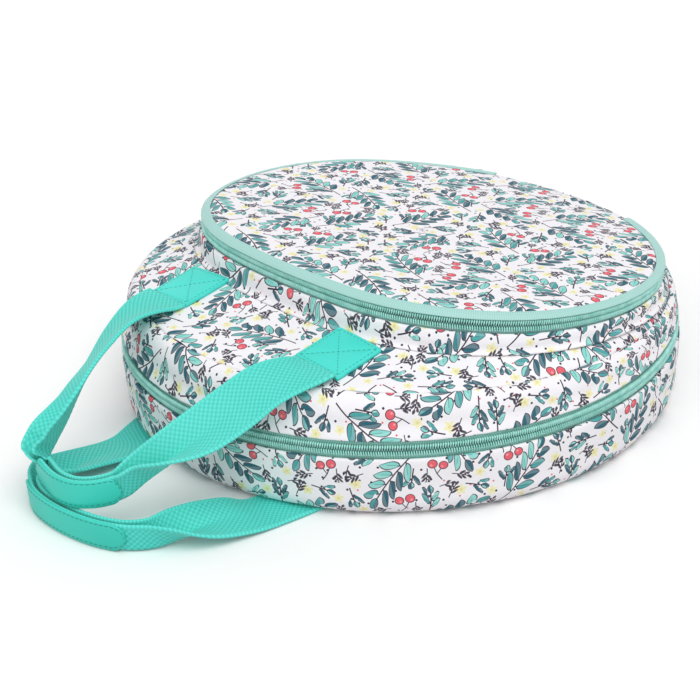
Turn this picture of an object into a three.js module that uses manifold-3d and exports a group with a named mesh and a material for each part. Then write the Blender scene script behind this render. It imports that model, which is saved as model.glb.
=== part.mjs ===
// Round embroidery storage bag, lying on its back face, modelled in millimetres with +Z up.
// The origin is the centre of the back face on the table. +Y points to the fabric hinge at the
// bag's foot, -Y to the carrying handles, and X runs across.
import * as THREE from 'three'
import { mergeVertices } from 'three/addons/utils/BufferGeometryUtils.js'
import Module from 'manifold-3d'

const wasm = await Module()
wasm.setup()

// Driving dimensions of the bag's body
const bagRadius = 160
const mainZipHeight = 41
const backEdgeRound = 12
const gussetCloth = 2.4
const backCloth = 3.6
const liningCloth = 1
const seamGap = 0.35
const hingeHalfAngle = THREE.MathUtils.degToRad(18)

// The front face: it slopes from the pocket's foot down to the shoulder
const pocketFloor = { height: 70, fall: 0.085 }
const shoulder = { height: 63.5, fall: 0.045, round: 9.5, roundFall: 0.03 }

// The pocket's outline is made of arcs in its own tilted plane: one concentric with the bag at
// the hinge side, one flat one at the handle side and a rounder one at each corner
const pocketRadius = 151.5
const pocketCornerRadius = 110
const pocketHandleArc = 390
const pocketReachToHandles = 86
const pocketSlitHeight = 85.4
const pocketTilt = 0.136
const pocketHingeHalfAngle = THREE.MathUtils.degToRad(20)

// Zip chain: the slit is where the two coils meet
const tapeThickness = 0.8
const slitHalf = 0.6
const coil = { height: 2.4, depth: 2.1 }
const mainUpperTape = 8
const lowerTape = 5.5
const tapeUnderCloth = 4
const lid = { height: 5.6, tapeOverlap: 9 }

// Zip sliders and their pulls
const slider = { length: 9, width: 9, plate: 1.3, post: 0.5, inner: 1.3, innerWidth: 5.6 }
const pull = { length: 22, width: 6.4, thickness: 1.2 }
const mainSliderAngles = { hingeSide: 70, handleSide: 78 }
const pocketSliderAngle = 26

// Handles
const webbingWidth = 32
const webbingThickness = 1.8
const strapSpacing = 122
const patchSize = 32
const patchThickness = 2.2
const patchInset = 58
const gripLeather = 1.2
const foldHalfGap = 1.3
const strapRest = 1.1
const tableGap = 0.2

const wallTape = -(gussetCloth + seamGap - 0.05)
const zipEndGap = THREE.MathUtils.degToRad(1)
const flatZ = (z) => () => z

const finishes = {
  print: { color: 0xe9eef0, roughness: 0.85, metalness: 0 },
  lining: { color: 0xf3f1ee, roughness: 0.9, metalness: 0 },
  tape: { color: 0x8ccfbb, roughness: 0.6, metalness: 0 },
  coil: { color: 0x5fb096, roughness: 0.4, metalness: 0 },
  webbing: { color: 0x2fd0bd, roughness: 0.75, metalness: 0 },
  leather: { color: 0x3fd2c2, roughness: 0.5, metalness: 0 },
  metal: { color: 0x7cc5b2, roughness: 0.35, metalness: 0.6 }
}

const bag = new THREE.Group()

function add(name, geometry, finish, parent = bag) {
  const mesh = new THREE.Mesh(geometry, new THREE.MeshStandardMaterial(finishes[finish]))
  mesh.name = name
  parent.add(mesh)
  return mesh
}

// Closed bodies through rows of outlines

function signedVolume(position, index) {
  const [a, b, c] = [new THREE.Vector3(), new THREE.Vector3(), new THREE.Vector3()]
  let volume = 0
  for (let i = 0; i < index.length; i += 3) {
    a.fromArray(position, 3 * index[i])
    b.fromArray(position, 3 * index[i + 1])
    c.fromArray(position, 3 * index[i + 2])
    volume += a.dot(b.cross(c))
  }
  return volume
}

function closedGeometry(position, index) {
  const raw = new THREE.BufferGeometry()
  raw.setAttribute('position', new THREE.Float32BufferAttribute(position, 3))
  raw.setIndex(index)
  const merged = mergeVertices(raw, 1e-4)
  const old = merged.index.array
  let kept = []
  for (let i = 0; i < old.length; i += 3) {
    const [a, b, c] = [old[i], old[i + 1], old[i + 2]]
    if (a !== b && b !== c && c !== a) kept.push(a, b, c)
  }
  if (signedVolume(merged.attributes.position.array, kept) < 0) kept = kept.reverse()
  merged.setIndex(kept)
  merged.computeVertexNormals()
  return merged
}

// The end cap of a row: the outline is laid flat and cut into triangles
function capFaces(outline, first) {
  const normal = new THREE.Vector3()
  outline.forEach((p, i) => {
    const q = outline[(i + 1) % outline.length]
    normal.add(new THREE.Vector3().crossVectors(p, q))
  })
  const across = new THREE.Vector3().subVectors(outline[1], outline[0]).normalize()
  const up = new THREE.Vector3().crossVectors(normal.normalize(), across)
  const flat = outline.map((p) => new THREE.Vector2(p.dot(across), p.dot(up)))
  return THREE.ShapeUtils.triangulateShape(flat, []).map((face) => face.map((i) => i + first))
}

// A body through outlines of like points. A ring closes on its first outline
function loft(outlines, ring = false) {
  const n = outlines[0].length
  const rows = outlines.length
  const position = outlines.flat().flatMap((p) => [p.x, p.y, p.z])
  const index = []
  for (let row = 0; row < (ring ? rows : rows - 1); row++) {
    const next = ((row + 1) % rows) * n
    for (let j = 0; j < n; j++) {
      const [a, b] = [row * n + j, row * n + ((j + 1) % n)]
      const [c, d] = [next + ((j + 1) % n), next + j]
      index.push(a, b, c, a, c, d)
    }
  }
  if (!ring) {
    capFaces(outlines[0], 0).forEach(([a, b, c]) => index.push(a, c, b))
    capFaces(outlines[rows - 1], (rows - 1) * n).forEach(([a, b, c]) => index.push(a, b, c))
  }
  return closedGeometry(position, index)
}

function asManifold(geometry) {
  return new wasm.Manifold(new wasm.Mesh({
    numProp: 3,
    vertProperties: new Float32Array(geometry.attributes.position.array),
    triVerts: new Uint32Array(geometry.index.array)
  }))
}

function fromManifold(solid) {
  const mesh = solid.getMesh()
  return closedGeometry(Array.from(mesh.vertProperties), Array.from(mesh.triVerts))
}

function cut(geometry, cutters) {
  return fromManifold(cutters.reduce((solid, tool) => solid.subtract(asManifold(tool)), asManifold(geometry)))
}

function join(geometries) {
  return fromManifold(geometries.map(asManifold).reduce((a, b) => a.add(b)))
}

// Stations: places round a seam line. Each is an angle on an arc with a centre and a radius, so
// that an offset s is measured square to the line, outwards

const spread = (from, to, steps) => Array.from({ length: steps + 1 }, (_, i) => from + ((to - from) * i) / steps)
const arcStations = (x, y, r, from, to, steps) => spread(from, to, steps).map((a) => ({ x, y, r, a }))

function at(station, s, z) {
  const r = station.r + s
  return new THREE.Vector3(station.x + r * Math.cos(station.a), station.y + r * Math.sin(station.a), z)
}

// The same, moved a share of the way to the middle, where a disc's outlines meet
const middle = { x: 0, y: 20 }

function towardMiddle(station, s, z, share) {
  return at(station, s, z).lerp(new THREE.Vector3(middle.x, middle.y, z), share)
}

const hingeSide = Math.PI / 2
const fullTurn = 2 * Math.PI

function wallStations() {
  const from = hingeSide + hingeHalfAngle + zipEndGap
  const to = hingeSide + fullTurn - hingeHalfAngle - zipEndGap
  const zip = arcStations(0, 0, bagRadius, from, to, 60)
  const hinge = arcStations(0, 0, bagRadius, hingeSide - hingeHalfAngle, hingeSide + hingeHalfAngle, 7)
  hinge.forEach((station) => { station.hinged = true })
  return { zip, hinge, all: [...zip, ...hinge] }
}

// The pocket's arcs touch each other: the corner's centre lies where both joints are tangent
function pocketStations() {
  const handleCentre = pocketHandleArc - pocketReachToHandles
  const inHinge = pocketRadius - pocketCornerRadius
  const inHandle = pocketHandleArc - pocketCornerRadius
  const cy = (inHinge ** 2 - inHandle ** 2 + handleCentre ** 2) / (2 * handleCentre)
  const cx = Math.sqrt(inHinge ** 2 - cy ** 2)
  const hingeJoint = Math.atan2(cy, cx)
  const handleJoint = Math.atan2(cy - handleCentre, cx)
  const start = hingeSide + pocketHingeHalfAngle + zipEndGap
  const left = [
    ...arcStations(0, 0, pocketRadius, start, Math.PI - hingeJoint, 7),
    ...arcStations(-cx, cy, pocketCornerRadius, Math.PI - hingeJoint, Math.PI - handleJoint, 16).slice(1)
  ]
  const foot = arcStations(0, handleCentre, pocketHandleArc, Math.PI - handleJoint, fullTurn + handleJoint, 5)
  const right = left.map((p) => ({ x: -p.x, y: p.y, r: p.r, a: 3 * Math.PI - p.a })).reverse()
  const zip = [...left, ...foot.slice(1, -1), ...right]
  const span = pocketHingeHalfAngle
  const hinge = arcStations(0, 0, pocketRadius, hingeSide - span, hingeSide + span, 7)
  hinge.forEach((station) => { station.hinged = true })
  return { zip, hinge, all: [...zip, ...hinge] }
}

const wall = wallStations()
const rim = pocketStations()

// A section's points are an offset s, a height z and, in a disc, a share of the way to its middle
const sectionRow = (stations, section) =>
  stations.map((st) => section(st).map(([s, z, share]) => towardMiddle(st, s, z, share ?? 0)))
const ringOf = (stations, section) => loft(sectionRow(stations, section), true)
const stripOf = (stations, section) => loft(sectionRow(stations, section))
const box = (s0, s1, z0, z1) => [[s0, z0], [s1, z0], [s1, z1], [s0, z1]]

// A quarter round in (s, z) from its lower or inner end, with the given number of steps
function quarter(cs, cz, r, from, to, steps = 4) {
  return spread(from, to, steps).map((a) => [cs + r * Math.cos(a), cz + r * Math.sin(a)])
}

// Heights of the front face

const floorHeight = (y) => pocketFloor.height - pocketFloor.fall * y
const shoulderHeight = (y) => shoulder.height - shoulder.fall * y
const shoulderRound = (y) => shoulder.round - shoulder.roundFall * y

// The slope of the slit's plane meets the floor below: how deep the floor lies in the pocket's
// own frame, under a point y of that frame
function floorInPocket(y) {
  const [sin, cos] = [Math.sin(pocketTilt), Math.cos(pocketTilt)]
  const drop = pocketFloor.height - pocketSlitHeight + y * (sin - pocketFloor.fall * cos)
  return drop / (cos + pocketFloor.fall * sin)
}

const fromPocket = (p) => p.applyAxisAngle(new THREE.Vector3(1, 0, 0), -pocketTilt)

// How far the pocket's foot reaches from the bag's axis at an angle
const footOutline = rim.all.map((st) => fromPocket(at(st, 0, floorInPocket(at(st, 0, 0).y))))
  .map((p) => ({ a: (Math.atan2(p.y, p.x) + fullTurn) % fullTurn, r: Math.hypot(p.x, p.y) }))
  .sort((p, q) => p.a - q.a)

function footReach(angle) {
  const a = (angle + 2 * fullTurn) % fullTurn
  const next = footOutline.findIndex((p) => p.a > a)
  const q = footOutline[next < 0 ? 0 : next]
  const p = footOutline[(next <= 0 ? footOutline.length : next) - 1]
  const width = (q.a - p.a + fullTurn) % fullTurn
  return THREE.MathUtils.lerp(p.r, q.r, ((a - p.a + fullTurn) % fullTurn) / width)
}

const seamReach = (angle) => bagRadius - shoulderRound(bagRadius * Math.sin(angle))

function faceHeight(x, y) {
  const angle = Math.atan2(y, x)
  const foot = Math.min(footReach(angle), seamReach(angle) - 1)
  const out = (Math.hypot(x, y) - foot) / (seamReach(angle) - foot)
  if (out <= 0) return floorHeight(y)
  const top = floorHeight(foot * Math.sin(angle))
  return THREE.MathUtils.lerp(top, shoulderHeight(bagRadius * Math.sin(angle)), Math.min(out, 1))
}

// Body of the bag

const zipLowerEdge = mainZipHeight - lowerTape
const zipUpperEdge = mainZipHeight + mainUpperTape
const clothFace = -gussetCloth
const liningFace = -(gussetCloth + tapeThickness + 2 * seamGap - 0.1)
const liningBack = liningFace - liningCloth
const sliderReach = 9
const innerPlateTop = wallTape - tapeThickness - 0.6

function backGusset() {
  return ringOf(wall.all, (st) => {
    const top = st.hinged ? mainZipHeight - seamGap : zipLowerEdge
    const foot = -backEdgeRound + seamGap / 2
    return [
      [foot, 0],
      ...quarter(-backEdgeRound, backEdgeRound, backEdgeRound, -Math.PI / 2, 0, 5).slice(1),
      [0, top], [clothFace, top],
      ...quarter(-backEdgeRound, backEdgeRound, backEdgeRound - gussetCloth, 0, -Math.PI / 2, 5).slice(0, -1),
      [foot, gussetCloth]
    ]
  })
}

function backPanel() {
  const edge = -backEdgeRound - seamGap / 2
  return ringOf(wall.all, () => [[edge, 0, 1], [edge, 0], [edge, backCloth], [edge, backCloth, 1]])
}

function backLining() {
  const outer = backEdgeRound + liningFace
  const floor = backCloth + seamGap
  const top = mainZipHeight - sliderReach
  const centre = floor + outer
  return ringOf(wall.all, () => [
    [-backEdgeRound, floor, 1],
    ...quarter(-backEdgeRound, centre, outer, -Math.PI / 2, 0),
    [liningFace, top], [liningBack, top],
    ...quarter(-backEdgeRound, centre, outer - liningCloth, 0, -Math.PI / 2),
    [-backEdgeRound, floor + liningCloth, 1]
  ])
}

// The tape that binds the seam between the back panel and the gusset, inside the bag
function backSeamBinding() {
  const outer = backEdgeRound + liningFace - liningCloth - seamGap - 0.15
  const centre = backCloth + seamGap + backEdgeRound + liningFace
  const [from, to] = [-Math.PI * 0.36, -Math.PI * 0.1]
  return ringOf(wall.all, () => [
    ...quarter(-backEdgeRound, centre, outer, from, to, 2),
    ...quarter(-backEdgeRound, centre, outer - liningCloth, to, from, 2)
  ])
}

function shoulderOf(station) {
  const y = bagRadius * Math.sin(station.a)
  return { height: shoulderHeight(y), round: shoulderRound(y) }
}

function frontGusset() {
  return ringOf(wall.all, (st) => {
    const { height, round } = shoulderOf(st)
    const foot = st.hinged ? mainZipHeight + seamGap : zipUpperEdge
    return [
      [0, foot],
      ...quarter(-round, height - round, round, 0, Math.PI / 2).slice(0, -1),
      [-round + seamGap / 2, height], [-round + seamGap / 2, height - gussetCloth],
      ...quarter(-round, height - round, round - gussetCloth, Math.PI / 2, 0).slice(1),
      [clothFace, foot]
    ]
  })
}

// Points of the front face along one direction, from the axis out to a reach
function faceRun(angle, reach, drop) {
  const foot = Math.min(footReach(angle), seamReach(angle) - 1)
  return [0, foot * 0.6, foot, (foot + reach) / 2, reach].map((r) => {
    const [x, y] = [r * Math.cos(angle), r * Math.sin(angle)]
    return [r - bagRadius, faceHeight(x, y) - drop]
  })
}

function frontPanel() {
  return ringOf(wall.all, (st) => {
    const reach = seamReach(st.a) - seamGap / 2
    return [...faceRun(st.a, reach, 0), ...faceRun(st.a, reach, gussetCloth).reverse()]
  })
}

const liningDrop = 0.7
const liningRound = (round) => Math.max(round + liningFace, 1.6)

function frontLining() {
  return ringOf(wall.all, (st) => {
    const { height, round } = shoulderOf(st)
    const drop = gussetCloth + liningDrop
    const foot = mainZipHeight + sliderReach
    const outer = liningRound(round)
    const centre = liningFace - outer
    const seam = bagRadius + centre
    const top = height - drop
    return [
      ...faceRun(st.a, seam, drop).slice(0, -1),
      ...quarter(centre, top - outer, outer, Math.PI / 2, 0, 3),
      [liningFace, foot], [liningBack, foot],
      ...quarter(centre, top - outer, outer - liningCloth, 0, Math.PI / 2, 3),
      ...faceRun(st.a, seam, drop + liningCloth).slice(0, -1).reverse()
    ]
  })
}

// The tape that binds the seam between the front panel and the gusset, inside the bag
function frontSeamBinding() {
  return ringOf(wall.all, (st) => {
    const { height, round } = shoulderOf(st)
    const top = height - gussetCloth - liningDrop - liningRound(round)
    const s = liningBack - seamGap
    return box(s - liningCloth, s, top - 5, top)
  })
}

// Half of a zip: the tape behind the cloth's edge, and the coil on the tape's face at the slit.
// side is +1 above the slit and -1 below it
const tapeStrip = (stations, side, reach) =>
  stripOf(stations, () => box(wallTape - tapeThickness, wallTape, side * slitHalf + slitBase(stations), slitBase(stations) + side * reach))

function slitBase(stations) {
  return stations === wall.zip ? mainZipHeight : 0
}

function coilStrip(stations, side) {
  const base = slitBase(stations)
  const inner = wallTape + seamGap
  const [s0, s1] = [inner, inner + coil.depth]
  const [z0, z1] = [base + side * slitHalf, base + side * (slitHalf + coil.height)]
  const mid = (s0 + s1) / 2
  const bevel = side * coil.height * 0.25
  return stripOf(stations, () => [
    [s0, z0], [mid, z0], [s1, z0 + bevel], [s1, z1 - bevel], [mid, z1], [s0, z1]
  ])
}

function hingeStrip(hingeAngle, radius, z0, z1) {
  const over = hingeAngle + 2 * zipEndGap
  const stations = arcStations(0, 0, radius, hingeSide - over, hingeSide + over, 8)
  const s = seamGap + 0.2
  return stripOf(stations, () => box(s, s + tapeThickness, z0, z1))
}

// Pocket, in its own frame: the slit's plane is z = 0

function pocketGusset() {
  return ringOf(rim.all, (st) => {
    const foot = floorInPocket(at(st, 0, 0).y) + seamGap + 0.1
    const top = st.hinged ? -seamGap : -lowerTape
    return [[0, foot], [0, top], [clothFace, top], [clothFace, foot]]
  })
}

function pocketLining() {
  const raise = seamGap + 0.1
  return ringOf(rim.all, (st) => {
    const level = (s, share) => floorInPocket(towardMiddle(st, s, 0, share).y) + raise
    const foot = level(liningFace, 0)
    const top = Math.max(-sliderReach, foot + liningCloth + 0.4)
    return [
      [liningFace, level(liningFace, 1), 1], [liningFace, foot], [liningFace, top],
      [liningBack, top], [liningBack, level(liningBack, 0) + liningCloth],
      [liningBack, level(liningBack, 1) + liningCloth, 1]
    ]
  })
}

// The lid's zip tape folds over its top edge
function lidTape() {
  const back = wallTape - tapeThickness
  const top = lid.height + seamGap
  return stripOf(rim.zip, () => [
    [back, slitHalf], [wallTape, slitHalf], [wallTape, coil.height + 1],
    [-1.4, coil.height + 2.4], [-1.4, top - 0.7], [-2.6, top + tapeThickness],
    [-lid.tapeOverlap, top + tapeThickness], [-lid.tapeOverlap, top], [back, top],
    [-2.3, top - 1.1], [-2.3, coil.height + 3.1], [back, coil.height + 1.7]
  ])
}

function lidPanel() {
  const inner = wallTape - tapeThickness - seamGap - 0.15
  const under = lid.height - gussetCloth
  return ringOf(rim.all, (st) => {
    if (st.hinged) {
      return [
        [-12, lid.height, 1], [-12, lid.height], [-1.5, lid.height], [0, lid.height - 1.5],
        [0, seamGap], [clothFace, seamGap], [clothFace, under - 0.6], [-3.6, under], [-12, under],
        [-12, under, 1]
      ]
    }
    return [
      [-12, lid.height, 1], [-12, lid.height], [inner - 0.8, lid.height], [inner, lid.height - 0.6],
      [inner, under + 0.4], [inner - 0.4, under], [inner - 0.8, under], [inner - 1.6, under],
      [-12, under], [-12, under, 1]
    ]
  })
}

function lidLining() {
  const top = lid.height - gussetCloth - seamGap
  const edge = innerPlateTop - slider.inner - 0.6
  return ringOf(rim.all, () => [[edge, top, 1], [edge, top], [edge, top - liningCloth], [edge, top - liningCloth, 1]])
}

// Sliders. In a slider's own frame u runs along the zip, v is out from the bag and w is up

const block = (u0, u1, v0, v1, w0, w1) =>
  closedBox(new THREE.BoxGeometry(u1 - u0, v1 - v0, w1 - w0).translate((u0 + u1) / 2, (v0 + v1) / 2, (w0 + w1) / 2))

function closedBox(geometry) {
  geometry.deleteAttribute('normal')
  geometry.deleteAttribute('uv')
  const merged = mergeVertices(geometry, 1e-4)
  return closedGeometry(Array.from(merged.attributes.position.array), Array.from(merged.index.array))
}

function roundedPlate(u0, u1, halfWidth, corner, v0, v1) {
  const shape = new THREE.Shape()
  shape.moveTo(u0 + corner, -halfWidth)
  shape.lineTo(u1 - corner, -halfWidth)
  shape.absarc(u1 - corner, -halfWidth + corner, corner, -Math.PI / 2, 0)
  shape.absarc(u1 - corner, halfWidth - corner, corner, 0, Math.PI / 2)
  shape.lineTo(u0 + corner, halfWidth)
  shape.absarc(u0 + corner, halfWidth - corner, corner, Math.PI / 2, Math.PI)
  shape.absarc(u0 + corner, -halfWidth + corner, corner, Math.PI, 1.5 * Math.PI)
  const plate = new THREE.ExtrudeGeometry(shape, { depth: v1 - v0, bevelEnabled: false, curveSegments: 4 })
  return closedBox(plate.rotateX(Math.PI / 2).translate(0, v1, 0))
}

const sliderFace = 0.15
const arch = { half: 3.8, post: 1, width: 1.8, rise: 3.7, bar: 1 }
const pinHeight = sliderFace + slider.plate + 1.4

function sliderBody() {
  const half = slider.length / 2
  const outer = roundedPlate(-half, half, slider.width / 2, 2, sliderFace, sliderFace + slider.plate)
  const innerFoot = innerPlateTop - slider.inner
  const inner = roundedPlate(-half, half, slider.innerWidth / 2, 2, innerFoot, innerPlateTop)
  const post = block(-2, 2, innerPlateTop - 0.2, sliderFace + 0.2, -slider.post / 2, slider.post / 2)
  const top = sliderFace + slider.plate
  const legs = [-1, 1].map((side) => {
    const middle = side * (arch.half - arch.post / 2)
    const w = arch.width / 2
    return block(middle - arch.post / 2, middle + arch.post / 2, top - 0.2, top + arch.rise, -w, w)
  })
  const bar = block(-arch.half, arch.half, top + arch.rise - arch.bar, top + arch.rise, -arch.width / 2, arch.width / 2)
  return join([outer, inner, post, ...legs, bar])
}

// The pull turns about the pin bar at its eye, which runs through the slider's arch
function pullTab() {
  const v0 = pinHeight - pull.thickness / 2
  const v1 = pinHeight + pull.thickness / 2
  const plate = roundedPlate(-1, pull.length, pull.width / 2, 1, v0, v1)
  const eye = block(0.8, 5.4, v0 - 1, v1 + 1, -1.7, 1.7)
  return cut(plate, [eye])
}

// Puts a slider and its pull at an angle of a zip: pointing along the angle or back along it
function addSlider(name, parent, radius, height, degrees, direction) {
  const angle = hingeSide + THREE.MathUtils.degToRad(degrees)
  const seat = new THREE.Group()
  seat.position.set(radius * Math.cos(angle), radius * Math.sin(angle), height)
  const turn = new THREE.Matrix4().makeBasis(
    new THREE.Vector3(-Math.sin(angle), Math.cos(angle), 0),
    new THREE.Vector3(Math.cos(angle), Math.sin(angle), 0),
    new THREE.Vector3(0, 0, 1)
  )
  const mirror = new THREE.Matrix4().makeRotationAxis(new THREE.Vector3(0, 1, 0), direction < 0 ? Math.PI : 0)
  const place = turn.multiply(mirror)
  parent.add(seat)
  add(`${name}_slider`, oriented(sliderBody(), place), 'metal', seat)
  add(`${name}_pull`, oriented(pullTab(), place), 'metal', seat)
}

function oriented(geometry, matrix) {
  const turned = geometry.clone().applyMatrix4(matrix)
  return closedGeometry(Array.from(turned.attributes.position.array), Array.from(turned.index.array))
}

// Handle patches

const patchMiddle = -(bagRadius - patchInset)
const patchOuter = patchMiddle - patchSize / 2
const patchLift = 0.5

function frontPatch(side) {
  const middle = (side * strapSpacing) / 2
  const half = patchSize / 2
  const steps = spread(-half, half, 4)
  const row = (y, lift) => steps.map((dx) => {
    const x = middle + dx
    return new THREE.Vector3(x, y, faceHeight(x, y) + lift)
  })
  return loft(steps.map((dy) => {
    const y = patchMiddle + dy
    return [...row(y, patchLift), ...row(y, patchLift + patchThickness).reverse()]
  }))
}

const backPatchThickness = 1.8
const grooveDepth = 2.7
const grooveGap = 0.5

function backPatch(side) {
  const half = patchSize / 2
  const x = (side * strapSpacing) / 2
  return block(x - half, x + half, patchMiddle - half, patchMiddle + half, 0.2, 0.2 + backPatchThickness)
}

// Handles: a band of webbing lies flat at its patches and is folded upwards along its middle at
// the grip. Each point gives how much of the way to its patch it is (reach), a shift across
// (dx), how far it lies beyond the bag's wall (out), how far the fold has closed in degrees,
// and how the band leans

const frontStrapPoints = [
  { reach: 1, dx: 0, out: -41.4, fold: 0, lean: [0, -0.1] },
  { reach: 1, dx: 0, out: -37, fold: 0, lean: [0, -0.13] },
  { reach: 1, dx: -2.5, out: -26, fold: 0, lean: [0.1, -0.18] },
  { reach: 0.95, dx: -4, out: -12, fold: 0, lean: [0.2, -0.36] },
  { reach: 0.79, dx: 0.4, out: 4, fold: 4, lean: [0.28, -0.45] },
  { reach: 0.59, dx: 6, out: 20, fold: 20, lean: [0.28, -0.42] },
  { reach: 0.38, dx: 10, out: 34, fold: 50, lean: [0.16, -0.25] },
  { reach: 0.19, dx: 12.4, out: 45, fold: 76, lean: [0.05, -0.1] },
  { reach: 0.06, dx: 15, out: 54, fold: 85, lean: [0, 0] },
  { reach: 0.012, dx: 11, out: 65, fold: 86, lean: [0, 0] },
  { reach: 0, dx: 3, out: 73, fold: 87, lean: [0, 0] },
  { reach: 0, dx: -8, out: 75.5, fold: 87, lean: [0, 0] },
  { reach: -0.006, dx: -19.6, out: 73.6, fold: 86, lean: [0, 0] },
  { reach: -0.034, dx: -28.9, out: 70, fold: 84, lean: [0, 0] },
  { reach: -0.14, dx: -27, out: 65, fold: 74, lean: [0, 0] },
  { reach: -0.29, dx: -17.3, out: 59, fold: 58, lean: [-0.15, -0.15] },
  { reach: -0.45, dx: -7.5, out: 51, fold: 38, lean: [-0.45, -0.4] },
  { reach: -0.6, dx: -1.3, out: 41.5, fold: 20, lean: [-0.7, -0.65] },
  { reach: -0.73, dx: 0.8, out: 29.5, fold: 8, lean: [-0.8, -0.7] },
  { reach: -0.837, dx: 0.6, out: 14, fold: 0, lean: [-0.8, -0.7] },
  { reach: -0.95, dx: 0.8, out: -6, fold: 0, lean: [-0.5, -0.5] },
  { reach: -1, dx: 0.6, out: -25, fold: 0, lean: [-0.14, -0.2] },
  { reach: -1, dx: 0, out: -37, fold: 0, lean: [0, -0.13] },
  { reach: -1, dx: 0, out: -41.4, fold: 0, lean: [0, -0.1] }
]

const backStrapPoints = [
  { reach: 1, dx: 0, out: -41.5, rise: 0, fold: 0, lean: [0, 0] },
  { reach: 1, dx: 0, out: -36, rise: 0, fold: 0, lean: [0, 0] },
  { reach: 0.98, dx: 0, out: -20, rise: 0, fold: 0, lean: [0, 0] },
  { reach: 0.94, dx: 0, out: -3, rise: 0.2, fold: 0, lean: [0, 0] },
  { reach: 0.9, dx: 0, out: 13, rise: 3.4, fold: 6, lean: [0.18, 0] },
  { reach: 0.84, dx: 0, out: 29, rise: 4.4, fold: 18, lean: [0.2, 0] },
  { reach: 0.76, dx: 0, out: 43, rise: 2.2, fold: 48, lean: [0.1, 0] },
  { reach: 0.68, dx: 0, out: 56, rise: 0.4, fold: 78, lean: [0, 0] },
  { reach: 0.54, dx: 0, out: 66, rise: 0, fold: 86, lean: [0, 0] },
  { reach: 0.32, dx: 0, out: 73, rise: 0, fold: 87, lean: [0, 0] },
  { reach: 0.04, dx: 0, out: 77, rise: 0, fold: 87, lean: [0, 0] },
  { reach: -0.26, dx: 0, out: 78, rise: 0, fold: 87, lean: [0, 0] },
  { reach: -0.52, dx: 0, out: 75.5, rise: 0, fold: 87, lean: [0, 0] },
  { reach: -0.7, dx: 0, out: 69, rise: 0.2, fold: 84, lean: [0, 0] },
  { reach: -0.78, dx: 0, out: 59, rise: 0.8, fold: 62, lean: [0, 0] },
  { reach: -0.8, dx: 0, out: 45, rise: 2.4, fold: 28, lean: [-0.06, 0] },
  { reach: -0.8, dx: 0, out: 30, rise: 3.4, fold: 10, lean: [-0.12, 0] },
  { reach: -0.79, dx: 0, out: 13, rise: 2.6, fold: 2, lean: [-0.12, 0] },
  { reach: -0.81, dx: 0, out: -2, rise: 0.1, fold: 0, lean: [0, 0] },
  { reach: -0.92, dx: 0, out: -20, rise: 0, fold: 0, lean: [0, 0] },
  { reach: -1, dx: 0, out: -36, rise: 0, fold: 0, lean: [0, 0] },
  { reach: -1, dx: 0, out: -41.5, rise: 0, fold: 0, lean: [0, 0] }
]

const frontStrapRest = strapRest + webbingWidth / 2 + webbingThickness / 2 + 0.2
const frontStrapAnchor = faceHeight(strapSpacing / 2 - webbingWidth / 2, patchOuter) + webbingThickness / 2 + 0.4

function frontStrapPoint({ reach, dx, out }) {
  const x = (reach * strapSpacing) / 2 + dx
  const z = THREE.MathUtils.lerp(frontStrapRest, frontStrapAnchor, Math.abs(reach))
  return new THREE.Vector3(x, -(bagRadius + out), z)
}

function backStrapPoint({ reach, dx, out, rise }) {
  return new THREE.Vector3((reach * strapSpacing) / 2 + dx, -(bagRadius + out), strapRest + rise)
}

// Frames along a strap: across lies in the band from its outer to its inner edge, up is out of it
function strapFrames(points, place) {
  const steps = 2 * (points.length - 1)
  const route = new THREE.CatmullRomCurve3(points.map(place))
  return spread(0, 1, steps).map((t) => {
    const along = route.getTangent(t)
    const here = t * (points.length - 1)
    const [a, b] = [points[Math.floor(here)], points[Math.ceil(here)]]
    const share = here % 1
    const up = new THREE.Vector3(...a.lean, 1).lerp(new THREE.Vector3(...b.lean, 1), share)
    up.addScaledVector(along, -up.dot(along)).normalize()
    const across = new THREE.Vector3().crossVectors(along, up)
    const fold = THREE.MathUtils.degToRad(THREE.MathUtils.lerp(a.fold, b.fold, share))
    const frame = { middle: route.getPoint(t), across, up, fold }
    const lowest = Math.min(...webbingSection(frame).map((p) => p.z))
    frame.middle.z += Math.max(0, tableGap - lowest)
    return frame
  })
}

const inFrame = ({ middle, across, up }, w, n) => middle.clone().addScaledVector(across, w).addScaledVector(up, n)

// The band's section: a short base and two halves that hinge up from it
function webbingSection(frame) {
  const t = webbingThickness / 2
  const half = webbingWidth / 2 - foldHalfGap
  const { fold } = frame
  const [c, s, bend] = [Math.cos(fold), Math.sin(fold), Math.tan(fold / 2)]
  const edge = (side, face) => [
    side * (foldHalfGap + half * c - face * t * s), half * s + face * t * c
  ]
  const corner = (side, face) => [side * (foldHalfGap - face * t * bend), face * t]
  const loop = [
    edge(-1, -1), corner(-1, -1), corner(1, -1), edge(1, -1),
    edge(1, 1), corner(1, 1), corner(-1, 1), edge(-1, 1)
  ]
  return loop.map(([w, n]) => inFrame(frame, w, n))
}

// The grip: a strip of leather on the outside of the fold's outer half, with round ends
const gripWidth = webbingWidth / 2

function gripSection(frame, narrow) {
  const { fold } = frame
  const [c, s] = [Math.cos(fold), Math.sin(fold)]
  const middle = gripWidth / 2 - foldHalfGap / 2
  const half = (gripWidth / 2) * narrow
  const point = (k, lift) => {
    const off = webbingThickness / 2 + lift
    return inFrame(frame, -foldHalfGap - k * c - off * s, k * s - off * c)
  }
  const near = seamGap + 0.1
  const far = near + gripLeather
  return [
    point(middle - half, near), point(middle + half, near), point(middle + half, far), point(middle - half, far)
  ]
}

function grip(frames) {
  const last = frames.length - 1
  const roundSteps = 2
  return loft(frames.map((frame, i) => {
    const end = Math.min(i, last - i)
    const narrow = end >= roundSteps ? 1 : Math.sin(Math.acos(1 - (end + 0.4) / (roundSteps + 0.4)))
    return gripSection(frame, narrow)
  }))
}

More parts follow.
